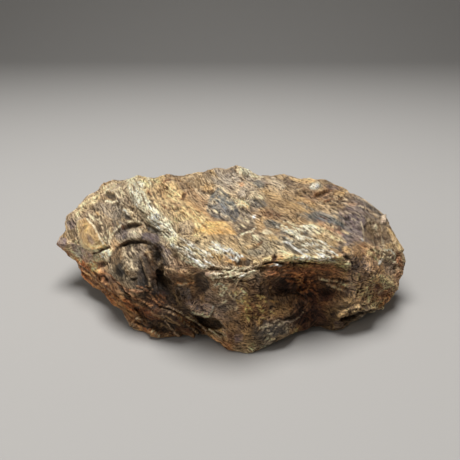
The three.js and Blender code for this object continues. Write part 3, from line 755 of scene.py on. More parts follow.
# Cracks and bright edges: colour, share, height, radius, path.
LINES = {
    # The left block.
    "rim of the knot hole": ("pink", 0.7, 0.4, 0.9, [103,195, 105,192, 111,190.5, 116,193, 118,197]),
    "lip of the knot hole": ("cream", 0.8, 0.6, 1, [106,201, 111,202, 117,201]),
    "edge of the slab": ("cream", 0.9, 0.5, 0.9, [87,219, 92,224, 97,232, 103,244]),
    "left edge of the slab": ("sand", 0.8, 0.3, 1, [78,222, 77,230, 80,240, 84,248, 92,250]),
    "crack under the slab": ("maroon", 0.9, -1.6, 1.2, [94,254, 101,251, 109,247]),
    "streaks by the slab": ("bone", 0.8, 0.4, 0.8, [98,219, 103,231, 107,243]),
    "second streak": ("bone", 0.7, 0.3, 0.7, [101,216, 106,226, 109,238]),
    "curl of the hook": ("white", 1.0, 0.7, 0.9, [124,209.5, 126.5,212.5, 130,215.5]),
    "arch of the knot": ("umber", 0.8, -1.2, 1.3,
        [109,262, 112,254, 118,247, 126,242.5, 140,241, 150,244, 156,250]),
    "arch above it": ("umber", 0.6, -0.8, 1.1, [115,234, 121,228, 130,224, 140,223.5, 150,226, 160,232]),
    "ledge above the arc": ("bone", 0.8, 0.7, 1.1, [128,221.5, 140,221.5, 150,224, 156,228]),
    "crack in the block": ("cream", 0.6, 0.3, 0.8, [110,238, 114,232, 121,225]),
    "knot crack": ("soot", 1.0, -1.6, 1, [141,268, 144,275, 147,283]),
    "red crack of the rib": ("maroon", 0.9, -1.2, 1, [145,254, 148,259, 150,263]),
    "lit side of the rib": ("tan", 0.5, 0.5, 1.3, [147,249, 149,254, 150,259]),
    "light edge of the rib": ("tan", 0.5, 0.5, 0.9, [140,257, 144,268, 148,279, 152,290]),
    # The lower left.
    "crack under the block": ("maroon", 0.85, -1.4, 1.1, [110,279, 116,283, 122,288]),
    "edge of the block": ("rust", 0.7, 0.6, 1,
        [104,272, 111,277, 119,284, 128,293, 136,299, 142,301, 152,306]),
    "light edge of the slot": ("rust", 0.6, 0.3, 0.8, [126,289, 134,297, 142,301.5, 151,305]),
    "streak of the strip": ("tan", 0.9, 0.5, 0.8, [76,262, 90,272, 102,282, 110,291]),
    "second streak of the strip": ("sand", 0.6, 0.4, 0.7, [78,267, 92,277, 106,289]),
    "shade of the strip": ("maroon", 0.8, -0.6, 0.8, [77,264.5, 91,274.5, 104,285, 110,293]),
    "second shade of the strip": ("maroon", 0.7, -0.6, 0.8, [80,272, 94,282, 106,292]),
    "first stratum": ("pink", 0.45, 0.7, 0.9, [166,306, 176,310, 186,315.5, 196,322, 206,330]),
    "second stratum": ("pink", 0.4, 0.7, 0.9, [163,308, 171,312.5, 179,318, 188,325, 196,331.5, 206,341]),
    "gap between strata": ("soot", 0.9, -1.6, 1, [160,308, 174,312, 184,319, 194,327, 200,333]),
    "rust between strata": ("rust", 0.8, 0, 1, [176,313, 186,321, 195,329]),
    "edge of the tongue": ("pink", 0.35, 0.5, 0.8, [162,315, 166,322, 171,329, 181,339]),
    "left stratum": ("pink", 0.5, 0.6, 0.8, [143,325, 150,331, 160,336]),
    "left foot": ("pink", 0.7, 0.6, 0.9, [135,319, 138,317.5, 142,320]),
    "shade at the left foot": ("soot", 0.7, -0.8, 1, [136,322, 142,324, 148,329]),
    "lower edge of the chip": ("bone", 0.9, 0.5, 0.8, [192,312.5, 200,315, 208,317, 210,315]),
    "right edge of the chip": ("cream", 0.8, 0.5, 0.8, [214,306, 212,311, 209.5,316]),
    "first pale streak": ("cream", 0.8, 0.4, 0.8, [209,329, 214,333, 220,337]),
    "second pale streak": ("pink", 0.7, 0.4, 0.8, [215,330, 220,333, 226,336]),
    "rusty thread": ("fox", 0.8, 0.4, 0.8, [175,284, 184,284, 193,283]),
    "glints on the thread": ("pink", 0.6, 0.2, 0.7, [178,285, 182,285, 187,283]),
    "corner shadow": ("soot", 0.9, -1.2, 1.1, [206,279, 208,283, 209,288]),
    # The top, from the cream ridge to the right end.
    "upper ridge line": ("cream", 0.7, 0.8, 1, [147,203, 156,207, 162,214, 168,222, 173,230, 177,236]),
    "lower ridge line": ("cream", 0.9, 0.7, 1, [157,217, 163,223, 169,229, 175,236]),
    "crack above the ridge": ("umber", 0.9, -1.0, 0.9, [150,198, 155,205, 160,212, 164,219]),
    "back of the ridge": ("cream", 0.9, 0.6, 1, [144,175, 149,179, 151,184]),
    "crack below the nodules": ("rust", 0.7, -1.0, 1.1, [161,204, 166,208, 174,210, 181,208]),
    "nodule notch": ("rust", 0.8, -1.0, 1.2, [164,183, 167,180, 170,179]),
    "shade of the lens": ("maroon", 0.8, -0.9, 1, [203,191.5, 209,191, 213,189.5]),
    "white crack": ("cream", 0.9, 0.5, 0.8, [241,235, 245,233, 251,231, 256,228]),
    "golden crack": ("rust", 0.8, -1.0, 1.1, [249,247, 255,246, 260,244, 262,242]),
    "back crack": ("umber", 0.8, -0.8, 0.9, [284,181, 289,183, 293,184]),
    "right crease": ("rust", 0.95, -1.6, 1.1, [325,202, 331,199.5, 338,200, 343,198]),
    "ridge of the shoulder": ("bone", 0.6, 0.6, 0.8, [361,222, 363.5,230, 364,239]),
    "glint on the ridge": ("white", 1.0, 0.4, 0.9, [362,239, 363,241]),
    "white thread": ("white", 1.0, 0.4, 0.8, [287,242, 293,247, 299,251, 304,255]),
    "second white thread": ("cream", 0.8, 0.4, 0.8, [286,227, 291,231, 295,236]),
    "cream thread": ("cream", 0.8, 0.4, 0.8, [300,226, 310,226, 319,229]),
    # The front.
    # Painted shadow line under the front rim.
    "rim line": ("soot", 1.0, -1.4, 1, [265,263.5, 272,262.5, 285,264, 300,263, 316,264]),
    "rust under the rim": ("rust", 0.8, 0.3, 0.9, [280,267, 296,269, 312,268, 330,270]),
    "second rust line": ("fox", 0.6, 0.3, 0.8, [284,272, 298,274, 314,273]),
    "teeth on the rim": ("white", 0.9, 0.6, 1, [270,266.5, 276,265, 281,266]),
    "rim ledge": ("bone", 0.5, 0.5, 1, [214,266.5, 222,267, 236,268.5, 248,267.5, 258,265.5]),
    "shadow under the ledge": ("umber", 0.6, -0.7, 1, [210,270, 222,270, 238,271.5, 250,270.5]),
    "crack across the front": ("soot", 0.8, -1.0, 0.9, [230,283.5, 238,281, 248,281.5, 256,279]),
    "white fleck": ("bone", 0.3, 0.15, 0.8, [219,306, 224,302, 228,301]),
    "shade of the fleck": ("soot", 0.4, -0.3, 1, [219,309, 226,305, 233,305]),
    "curved crack": ("grey", 0.9, -0.4, 0.7, [284,322, 292,321, 299,317, 305,311]),
    "shade of the curved crack": ("soot", 0.7, -0.9, 0.9, [278,319, 286,319.5, 294,317, 301,310]),
    "first curl": ("fox", 0.6, 0.4, 0.8, [296,278, 299,284, 297,290]),
    "second curl": ("fox", 0.6, 0.4, 0.8, [308,278, 310,284, 307,290, 302,292]),
    "third curl": ("fox", 0.5, 0.4, 0.8, [302,277, 304,282, 303,287]),
    # The right lobe and the front's lower edge.
    "crack over the lobe": ("soot", 0.8, -1.2, 1, [332,278, 340,280, 349,282]),
    "first lobe ledge": ("tan", 0.6, 0.6, 1, [341,313, 346,309.5, 354,307.5, 362,307]),
    "second lobe ledge": ("ochre", 0.6, 0.6, 1, [338,316, 346,314.5, 356,311, 366,309]),
    # Painted shadow under the lobe.
    "under the lobe": ("soot", 0.9, -1.6, 1.4, [342,320, 351,317, 362,313, 371,311, 380,310]),
    "lobe lip": ("tan", 0.8, 0.7, 1.1, [369,306, 374,307, 379,308]),
    "side crack": ("soot", 0.85, -1.4, 1.1, [395,258, 396,266, 395,273]),
    "pale edge of the flank": ("bone", 0.8, 0.4, 0.8, [385,250, 391,250, 395,255, 395,262]),
    "lower edge of the front": ("bone", 0.5, 0.4, 0.9, [262,347, 276,343, 290,338, 304,332]),
}

# Bundles of fibres that run along a path: the path, then for each bundle its colour, share,
# height, how many fibres, their length and the bundle's half width.
FIBRES = [
    ([93,212, 108,240], [("bone", 0.7, 0.3, 22, 9, 6), ("umber", 0.6, -0.4, 14, 9, 6)]),
    ([80,212, 100,196, 116,186], [("sand", 0.6, 0.3, 14, 7, 5)]),
    ([122,204, 148,222], [("bone", 0.6, 0.3, 18, 8, 6), ("umber", 0.7, -0.5, 14, 8, 6)]),
    ([133,184, 144,203, 158,219, 176,238],
     [("cream", 0.9, 0.5, 30, 11, 7), ("umber", 0.85, -0.6, 20, 8, 8)]),
    ([146,180, 156,196, 170,214], [("brown", 0.7, -0.4, 14, 8, 7)]),
    ([166,196, 186,210, 206,226], [("sand", 0.7, 0.3, 26, 10, 9)]),
    ([166,200, 186,214, 206,230], [("brown", 0.6, -0.4, 18, 8, 9)]),
    ([212,196, 228,208, 248,224], [("bone", 0.7, 0.25, 46, 6, 13), ("ink", 0.6, -0.3, 20, 6, 12)]),
    ([178,244, 196,254, 212,264], [("white", 0.7, 0.45, 26, 12, 9), ("umber", 0.7, -0.5, 22, 9, 9)]),
    ([209,244, 224,250, 240,256], [("white", 0.85, 0.45, 18, 11, 5), ("brown", 0.7, -0.5, 12, 9, 5)]),
    ([278,232, 300,244, 334,256], [("white", 0.65, 0.4, 28, 9, 10), ("slate", 0.7, -0.4, 22, 8, 10)]),
    ([284,226, 306,234], [("cream", 0.8, 0.4, 14, 8, 6)]),
    ([300,208, 322,216, 344,226], [("slate", 0.6, -0.3, 20, 10, 7)]),
    ([318,224, 344,238], [("sand", 0.6, 0.3, 18, 9, 6)]),
    ([318,220, 344,232], [("rust", 0.3, 0.2, 12, 9, 5)]),
    ([330,200, 362,216], [("bone", 0.5, 0.3, 20, 7, 9), ("umber", 0.6, -0.4, 20, 7, 9)]),
    ([128,248, 134,262, 124,272], [("bone", 0.6, 0.3, 24, 5, 8)]),
    ([76,264, 100,284, 114,298], [("rust", 0.6, 0.4, 18, 20, 6), ("maroon", 0.8, -0.6, 18, 18, 6)]),
    ([112,292, 150,314, 200,336], [("brown", 0.6, 0.5, 20, 20, 9)]),
    ([112,296, 150,318, 200,340], [("soot", 0.8, -0.8, 18, 18, 10)]),
    ([164,274, 170,284, 176,300], [("olive", 0.6, 0.5, 10, 14, 6), ("soot", 0.7, -0.6, 10, 12, 6)]),
    ([160,268, 178,272, 194,278], [("tan", 0.6, 0.3, 10, 10, 4)]),
    ([207,273, 228,274, 254,269], [("bone", 0.8, 0.5, 24, 12, 6), ("umber", 0.8, -0.7, 22, 12, 6)]),
    ([268,270, 290,272, 312,272], [("rust", 0.6, 0.3, 24, 9, 5)]),
    ([292,276, 304,284, 312,292], [("fox", 0.5, 0.3, 18, 8, 8)]),
    ([318,280, 332,284, 346,288], [("bone", 0.5, 0.3, 14, 9, 5)]),
    ([236,288, 256,306, 276,312], [("amber", 0.5, 0.3, 24, 6, 12)]),
    ([264,334, 286,324], [("bone", 0.4, 0.2, 40, 4, 9)]),
    ([214,276, 232,290, 224,306], [("bone", 0.5, 0.2, 44, 4, 14)]),
    ([212,282, 234,288, 246,300], [("bone", 0.4, 0.2, 24, 3, 14)]),
    ([236,288, 252,304, 262,322], [("amber", 0.5, 0.2, 30, 4, 12)]),
    ([346,290, 366,300, 384,286], [("bone", 0.3, 0.2, 24, 5, 10)]),
    ([368,244, 378,252, 390,260], [("tan", 0.9, 0.4, 16, 12, 6), ("umber", 0.8, -0.5, 12, 11, 6)]),
    ([352,244, 358,256], [("brown", 0.6, 0.3, 12, 10, 5)]),
    ([352,258, 356,276], [("ink", 0.8, -0.6, 12, 10, 5)]),
    ([366,278, 360,300], [("tan", 0.6, 0.4, 16, 12, 8), ("umber", 0.7, -0.5, 14, 12, 8)]),
    ([384,276, 396,288], [("tan", 0.5, 0.4, 14, 8, 5)]),
    ([342,313, 354,308, 372,306], [("tan", 0.7, 0.5, 12, 9, 4)]),
    # Dark fibres that carry painted shade under the lobe ledge.
    ([342,318, 356,314, 374,311], [("soot", 0.8, -0.8, 8, 12, 3)]),
    ([376,304, 392,290, 400,272], [("rust", 0.6, 0.3, 12, 10, 5)]),
    ([374,222, 380,244], [("umber", 0.7, -0.4, 14, 9, 7), ("bone", 0.5, 0.3, 10, 8, 7)]),
    ([394,238, 400,256, 401,272], [("tan", 0.7, 0.4, 12, 9, 5)]),
    ([142,233, 156,240, 168,252], [("plum", 0.8, 0, 12, 6, 6)]),
    ([134,288, 148,292, 160,300], [("rust", 0.7, 0.3, 14, 9, 6)]),
]

# Ledges of split layers: height, width in mm, path. The ledge stands to the right of the path
# as one walks along it.
LEDGES = {
    "front rim": (-1.8, 11, [262,266, 285,265, 300,262, 320,264, 338,265]),
    "underside rim": (2.0, 9, [104,273, 118,285, 130,299, 152,307, 172,311, 192,322, 208,336]),
    "first layer": (1.4, 6, [160,309, 176,317, 192,331, 200,341]),
    "second layer": (1.4, 7, [138,312, 146,322, 158,335]),
    "lobe ledge": (1.8, 6, [336,314, 350,308, 366,306, 386,304]),
}

FIBRE_SEED = 11
FIBRE_HALF = (0.3, 0.6)  # a fibre's half length, as a share of its bundle's fibre length
FIBRE_LEAN = 0.12  # how far it turns aside and how far it bows, as shares of its half length
FIBRE_BOW = 0.1
FIBRE_STRENGTH = (0.6, 1.0)
FIBRE_RADIUS_PX = (0.6, 1.0)


def points_of(path):
    """The points of a path or outline, one to a row."""
    return np.reshape(path, (-1, 2)).astype(float)


def bundled(random):
    """Each fibre of the bundles, in the form of the cracks and bright edges above."""
    fibres = []
    for path, bundles in FIBRES:
        along = points_of(path)
        steps = np.linalg.norm(np.diff(along, axis=0), axis=1)
        reach = np.concatenate([[0], np.cumsum(steps)])

        def at(distance):
            return np.array([np.interp(distance, reach, along[:, k]) for k in range(2)])

        for colour, share, height, count, length, spread in bundles:
            for _ in range(count):
                distance = random.uniform(0, reach[-1])
                ahead = unit(at(distance + 1) - at(distance - 1))
                aside = np.array([-ahead[1], ahead[0]])
                middle = at(distance) + random.uniform(-spread, spread) * aside
                half = random.uniform(*FIBRE_HALF) * length
                lean, bow = random.normal(0, FIBRE_LEAN), random.normal(0, FIBRE_BOW) * half
                run = half * (ahead + lean * aside)
                fibre = [middle - run, middle + bow * aside, middle + run]
                strength = random.uniform(*FIBRE_STRENGTH)
                radius = random.uniform(*FIBRE_RADIUS_PX)
                fibres.append((colour, share * strength, height * strength, radius, fibre))
    return fibres


STROKES = [*LINES.values(), *bundled(np.random.default_rng(FIBRE_SEED))]

# ---- Distances in the photograph ---------------------------------------------------------------

FAR_OUTSIDE_PX = -9.0
PATCH_MARGIN_PX = 3
LEDGE_MARGIN_PX = 30
LINE_FADE = (1.3, 0.5)  # shares of a line's radius between which it fades in
WASH_FADE = (1.4, 0.5)
VEIN_FADE = (1.4, 0.6)


def to_path(pixel, path):
    """Distance from each pixel to a path, and 1 to the right of it or -1 to the left."""
    path = points_of(path)
    best = np.full(len(pixel), np.inf)
    side = np.zeros(len(pixel))
    for a, b in zip(path[:-1], path[1:]):
        run = b - a
        share = np.clip(((pixel - a) @ run) / (run @ run), 0, 1)
        offset = pixel - a - share[:, None] * run
        distance = np.sqrt((offset**2).sum(axis=1))
        nearer = distance < best
        turn = run[0] * (pixel[:, 1] - a[1]) - run[1] * (pixel[:, 0] - a[0])
        side = np.where(nearer, np.sign(turn), side)
        best = np.where(nearer, distance, best)
    return best, side


def to_outline(pixel, outline):
    """Signed distance from each pixel to a closed outline, positive inside it."""
    outline = points_of(outline)
    closed = np.vstack([outline, outline[:1]])
    distance, _ = to_path(pixel, closed)
    x, y = pixel.T
    inside = np.zeros(len(pixel), bool)
    for (x0, y0), (x1, y1) in zip(closed[:-1], closed[1:]):
        crosses = (y0 > y) != (y1 > y)
        with np.errstate(divide="ignore", invalid="ignore"):
            inside ^= crosses & (x < (x1 - x0) * (y - y0) / (y1 - y0) + x0)
    return np.where(inside, distance, -distance)


def nearby(pixel, path, margin):
    """The vertices within margin pixels of the box around a path."""
    path = points_of(path)
    low, high = path.min(axis=0) - margin, path.max(axis=0) + margin
    return np.flatnonzero(((pixel > low) & (pixel < high)).all(axis=1))


def patch_depth(pixel, outline):
    """How many pixels inside a patch each vertex lies."""
    depth = np.full(len(pixel), FAR_OUTSIDE_PX)
    near = nearby(pixel, outline, PATCH_MARGIN_PX)
    depth[near] = to_outline(pixel[near], outline)
    return depth


def line_share(pixel, breaks, path, radius):
    """1 on a line, falling to 0 at its radius and where the line breaks off."""
    share = np.zeros(len(pixel))
    near = nearby(pixel, path, radius + 1)
    share[near] = breaks[near] * smoothstep(*LINE_FADE, to_path(pixel[near], path)[0] / radius)
    return share


def wash_share(pixel, path, radius, fade=WASH_FADE):
    """1 near a path, falling to 0 outside its radius."""
    return smoothstep(*fade, to_path(pixel, path)[0] / radius)


# ---- Relief ------------------------------------------------------------------------------------

# How the grain bends, in millimetres.
WAVES_PER_MM = (1 / 40, 1 / 70, 1 / 40)
WAVE_MM = 4.0
CURL_MM = 17
CURL_REACH_MM = 10.0
LEFT_END, RIGHT_END = (-40, -85), (-30, 50)  # where each end's own bend begins and is full
LEFT_LIFT, RIGHT_TURN = 0.24, 0.16

# The relief's parts: each one's size, in millimetres across, along and above the grain, and its
# height. Where there are two heights, the second is added in rough places.
LAYER, LAYER_MM = (20, 75, 20), 0.5
THIN_LAYER, THIN_LAYER_MM = (8, 34, 8), (0.08, 0.26)
FIBRE_END, FIBRE_END_MM = (4.6, 24, 4.6), (0.08, 0.32)
SPLINTER, SPLINTER_MM = (3.4, 45, 3.4), 0.35
FINE_SPLINTER, FINE_SPLINTER_MM = (2.1, 24, 2.1), 0.4
CHIP, CHIP_MM = (12, 44, 12), 0.3
SMALL_CHIP, SMALL_CHIP_MM = (4.2, 17, 4.2), 0.15
PIT, PIT_MM = (4.4, 7.5, 4.4), 1.2
END_SPACING_MM = 19
# The same for the parts that don't follow the grain. A tear shifts the others along the grain most.
BLOCK, BLOCK_MM = 15, 1.2
SMALL_BLOCK, SMALL_BLOCK_MM = 6.5, 0.4
CURLED_FIBRE, CURLED_FIBRE_MM = (8, 8, 3), 1.1
TEAR, TEAR_MM = 6, (1, 3, 1)
ROUGH_PLACE = 22
CRACK_MM, FINE_CRACK_MM = 0.8, 0.3  # depths between the chips and blocks, and the small chips
SUNK_MM = 0.2
RISER = 0.12  # the share of a layer's or fibre end's width that its sharp riser takes
PITTED = 0.14  # the share of the places for a pit that have one
CREST = 0.6  # the level of a ridge that the surface keeps


def grain_of(p):
    """Coordinates across, along and above the grain, in millimetres, with the grain's waves."""
    g = np.stack([p @ ACROSS, p @ GRAIN, p @ UPWARD], axis=1)
    g[:, 2] += LEFT_LIFT * smoothstep(*LEFT_END, p[:, 0]) * g[:, 1]
    g[:, 0] -= RIGHT_TURN * smoothstep(*RIGHT_END, p[:, 0]) * g[:, 1]
    wave = g * WAVES_PER_MM
    g[:, 0] += WAVE_MM * fractal(wave, 2, 5)
    g[:, 2] += WAVE_MM * fractal(wave, 2, 9)
    return g


def swirl_of(p):
    """Coordinates that follow the curled fibres of the broken ends, in millimetres."""
    return p + CURL_REACH_MM * fractals(p / CURL_MM, 2, (61, 62, 63))


def terraced(x):
    """Flat steps of one with sharp risers between them."""
    level = np.floor(x)
    return level + smoothstep(1 - RISER, 1, x - level)


def shingled(x):
    """Slopes that fall by one with each whole step of x and then rise again sharply."""
    return terraced(x) - x


def facets(p, seed, lean=1.6):
    """Tilted flat chips with sharp edges, about -1 to 1, how near their edges each point is, and
    a number from 0 to 1 for each chip."""
    near, far, tone, offset = cells(p, seed)
    tilt = np.stack([(tone * turn) % 1 for turn in (7.3, 29.7, 13.7)], axis=1) - 0.5
    return (tone - 0.5) + lean * (offset * tilt).sum(axis=1), far - near, tone


def broken_relief(p, g, swirl, lengthwise):
    """The relief that the whole stone shares, in millimetres, and each vertex's chip numbers."""
    tear = fractals(p / TEAR, 2, (21, 22, 23)) * TEAR_MM
    ragged = g + 1.2 * tear
    rough = smoothstep(-0.25, 0.35, fractal(p / ROUGH_PLACE, 2, 20))

    def roughened(heights):
        return heights[0] + heights[1] * rough

    def whole(along, across):
        """One value where the wood split along its grain, the other where it broke across."""
        return lengthwise * along + (1 - lengthwise) * across

    # Where the wood split along its grain: layers, broken fibre ends and splinters.
    layers = LAYER_MM * terraced(4.0 * fractal(ragged / LAYER, 2, 26))
    layers += roughened(THIN_LAYER_MM) * terraced(3.0 * fractal(ragged / THIN_LAYER, 2, 27))
    end = ragged[:, 1] / END_SPACING_MM + 1.4 * fractal(ragged / FIBRE_END, 2, 25)
    ends = roughened(FIBRE_END_MM) * shingled(end)
    splinters = SPLINTER_MM * (ridged(g / SPLINTER, 2, 50) - CREST)
    splinters += FINE_SPLINTER_MM * (ridged(g / FINE_SPLINTER, 1, 60) - CREST)
    chips, edge, chip_tone = facets(ragged / CHIP, 30)
    small, small_edge, small_tone = facets(ragged / SMALL_CHIP, 40)
    split = layers + ends + splinters + CHIP_MM * chips + SMALL_CHIP_MM * small
    split -= FINE_CRACK_MM * rough * smoothstep(0.08, 0.0, small_edge)

    # Where it broke across its grain: blocks and curled fibres.
    blocks, block_edge, block_tone = facets((p + 2.5 * tear) / BLOCK, 46, 2.4)
    lesser, _, lesser_tone = facets((p + 2.5 * tear) / SMALL_BLOCK, 47, 2.0)
    curls = ridged(swirl / CURLED_FIBRE, 2, 70) - CREST
    broken = BLOCK_MM * blocks + SMALL_BLOCK_MM * lesser + CURLED_FIBRE_MM * curls

    relief = whole(split, broken) - CRACK_MM * smoothstep(0.05, 0.0, whole(edge, block_edge))
    near, _, tone, _ = cells(ragged / PIT, 80)
    relief -= PIT_MM * smoothstep(0.3, 0.08, near) * (tone > 1 - PITTED)
    return relief - SUNK_MM, (whole(chip_tone, block_tone), whole(small_tone, lesser_tone))


def placed_relief(stone, survey, pixel, breaks):
    """The relief seen at known places, in millimetres, and how calm the stone is there."""
    relief = np.zeros(len(stone.p))
    calm = np.zeros(len(stone.p))
    for _, _, height, rise, calmness, outline in PATCHES.values():
        depth = patch_depth(pixel, outline)
        relief += height * smoothstep(-0.4, rise, depth)
        calm = np.maximum(calm, calmness * smoothstep(-1.0, 1.0, depth))
    for _, _, height, radius, path in STROKES:
        relief += height * line_share(pixel, breaks, path, radius + 0.3)
    for height, width, path in LEDGES.values():
        near = nearby(pixel, path, LEDGE_MARGIN_PX)
        distance, side = to_path(pixel[near], path)
        over = distance * survey.span[near] * side
        relief[near] += height * smoothstep(-0.6, 0.5, over) * smoothstep(width, 0, over)
    return survey.seen * relief, survey.seen * calm


# ---- Colour ------------------------------------------------------------------------------------

LUMA = np.array([0.2126, 0.7152, 0.0722])  # what red, green and blue light add to brightness
BANDS_PER_MM = (1 / 16, 1 / 90, 1 / 16)
STREAKS_PER_MM = (1 / 3.2, 1 / 30, 1 / 3.2)
CLOUD_MM = 18
MOTTLE_MM = 3.4
# The bands under everything else: colour, share, the values of the noise between which it fades
# in, and the noise's seed.
BANDS = [
    ("tan", 1, (-0.15, 0.25), 100),
    ("grey", 0.8, (0.05, 0.4), 110),
    ("ochre", 0.8, (0.08, 0.35), 120),
]
# Chips of a colour of their own: colour, then for the chips and for the small chips the share, and
# the middle and half width of the numbers that have it.
CHIP_TINTS = [
    ("umber", (0.2, 0.07, 0.07), (0.25, 0.07, 0.07)),
    ("bone", (0.2, 0.93, 0.07), (0.25, 0.94, 0.06)),
    ("gold", (0.2, 0.45, 0.07), (0.2, 0.6, 0.08)),
    ("slate", (0.2, 0.7, 0.05), (0.25, 0.25, 0.05)),
]
STREAK_GLOW = 0.22


def linear(name):
    """A colour of the stone as linear light."""
    c = np.array(COLOURS[name], float) / 255
    return np.where(c <= 0.04045, c / 12.92, ((c + 0.055) / 1.055) ** 2.4)


def laid(tint, name, share):
    """The tint with this share of a colour laid over it."""
    return tint + share[:, None] * (linear(name) - tint)


def stained(stone, survey, pixel, soft_pixel, breaks, g, lengthwise, tones):
    """Each vertex's colour in linear light, with painted shade and painted light laid in, before the fine
    fibres.
    """
    tint = np.tile(linear("brown"), (len(stone.p), 1))

    def lay(name, share):
        nonlocal tint
        tint = laid(tint, name, np.clip(share, 0, 1))

    for name, share, fade, seed in BANDS:
        lay(name, share * smoothstep(*fade, fractal(g * BANDS_PER_MM, 3, seed)))
    lay("umber", 0.7 * smoothstep(0.1, 0.4, fractal(stone.p / CLOUD_MM, 3, 130)))
    for name, share, radius, path in WASHES:
        lay(name, share * survey.seen * wash_share(soft_pixel, path, radius))

    for name, *kinds in CHIP_TINTS:
        shares = [share * (np.abs(tone - middle) < half)
                  for tone, (share, middle, half) in zip(tones, kinds)]
        lay(name, sum(shares))
    mottle = fractal(stone.p / MOTTLE_MM, 3, 140, 0.6)
    streak = lengthwise * fractal(g * STREAKS_PER_MM, 3, 150, 0.6) + (1 - 0.7 * lengthwise) * mottle
    uneven = 0.85 + 0.6 * streak
    for name, share, _, _, _, outline in PATCHES.values():
        inside = smoothstep(-1.0, 1.2, patch_depth(pixel, outline))
        lay(name, share * uneven * survey.seen * inside)
    glow = smoothstep(0.12, 0.42, streak) - smoothstep(-0.1, -0.42, streak)
    tint = tint * (1 + STREAK_GLOW * glow[:, None])
    # Painted shade and painted light, with the stone's own tone and casts.
    for factor, radius, path in PAINTED_LIGHT_SHADE_AND_TONE:
        share = survey.seen * wash_share(soft_pixel, path, radius)
        tint = tint * np.asarray(factor) ** share[:, None]
    for name, share, _, radius, path in STROKES:
        lay(name, share * survey.seen * line_share(pixel, breaks, path, radius))
    return tint


def veined(stone, survey, soft_pixel, tint, lengthwise):
    """Each vertex's colour of the fine fibres and flecks, in linear light: paler than the tint, and
    halfway to a colour of their own."""
    vein = np.tile(linear("cream"), (len(stone.p), 1))
    for name, share, radius, path in VEINS:
        vein = laid(vein, name, share * survey.seen * wash_share(soft_pixel, path, radius, VEIN_FADE))
    light = (tint @ LUMA)[:, None]
    own = vein / (vein @ LUMA)[:, None] * light
    return (3.5 - 1.5 * lengthwise)[:, None] * (tint + own) / 2 + 0.05 * vein


# ---- The dressed stone -------------------------------------------------------------------------

RAGGED_PX, SOFT_PX = 1.3, 5.0  # how far edges of places, and of washes, wander
RAGGED_MM, SOFT_MM = (5, 13, 5), (9, 30, 9)
BREAK_MM = 4.5  # how far apart the lines break off
SOLE_MM = (2.0, 0.3)  # between these heights the relief fades out above the sole
NEAR_PASSES, FAR_PASSES = 3, 24  # how often the surroundings are smoothed
PAINTED_HOLLOW_SHADE_NEAR_MM, PAINTED_HOLLOW_SHADE_FAR_MM = (0.04, 0.3), (0.4, 1.6)  # depths between which the painted shade of the hollows sets in
EDGE_WEAR_AND_HIGHLIGHT_MM = (0.03, 0.25)  # heights between which an edge gets paler, partly wear and partly painted highlight
EDGE_WEAR_AND_HIGHLIGHT_GAIN = 0.4
SHARP_EDGE = math.radians(40)


def hollowness(stone):
    """How deep each vertex lies below its surroundings, in millimetres, near and far."""
    outward = stone.normals()
    near = ((stone.smooth(stone.p, NEAR_PASSES) - stone.p) * outward).sum(axis=1)
    far = ((stone.smooth(stone.p, FAR_PASSES) - stone.p) * outward).sum(axis=1)
    return near, far


def opaque(colour):
    """Colours with a full fourth channel."""
    return np.hstack([np.clip(colour, 0, 1), np.ones((len(colour), 1))])


def keep(mesh, name, kind, values):
    """Stores values at the vertices, for the material to read."""
    layer = mesh.attributes.new(name, kind, "POINT")
    key = {"FLOAT": "value", "FLOAT_VECTOR": "vector", "FLOAT_COLOR": "color"}[kind]
    layer.data.foreach_set(key, np.ascontiguousarray(values, np.float32).ravel())


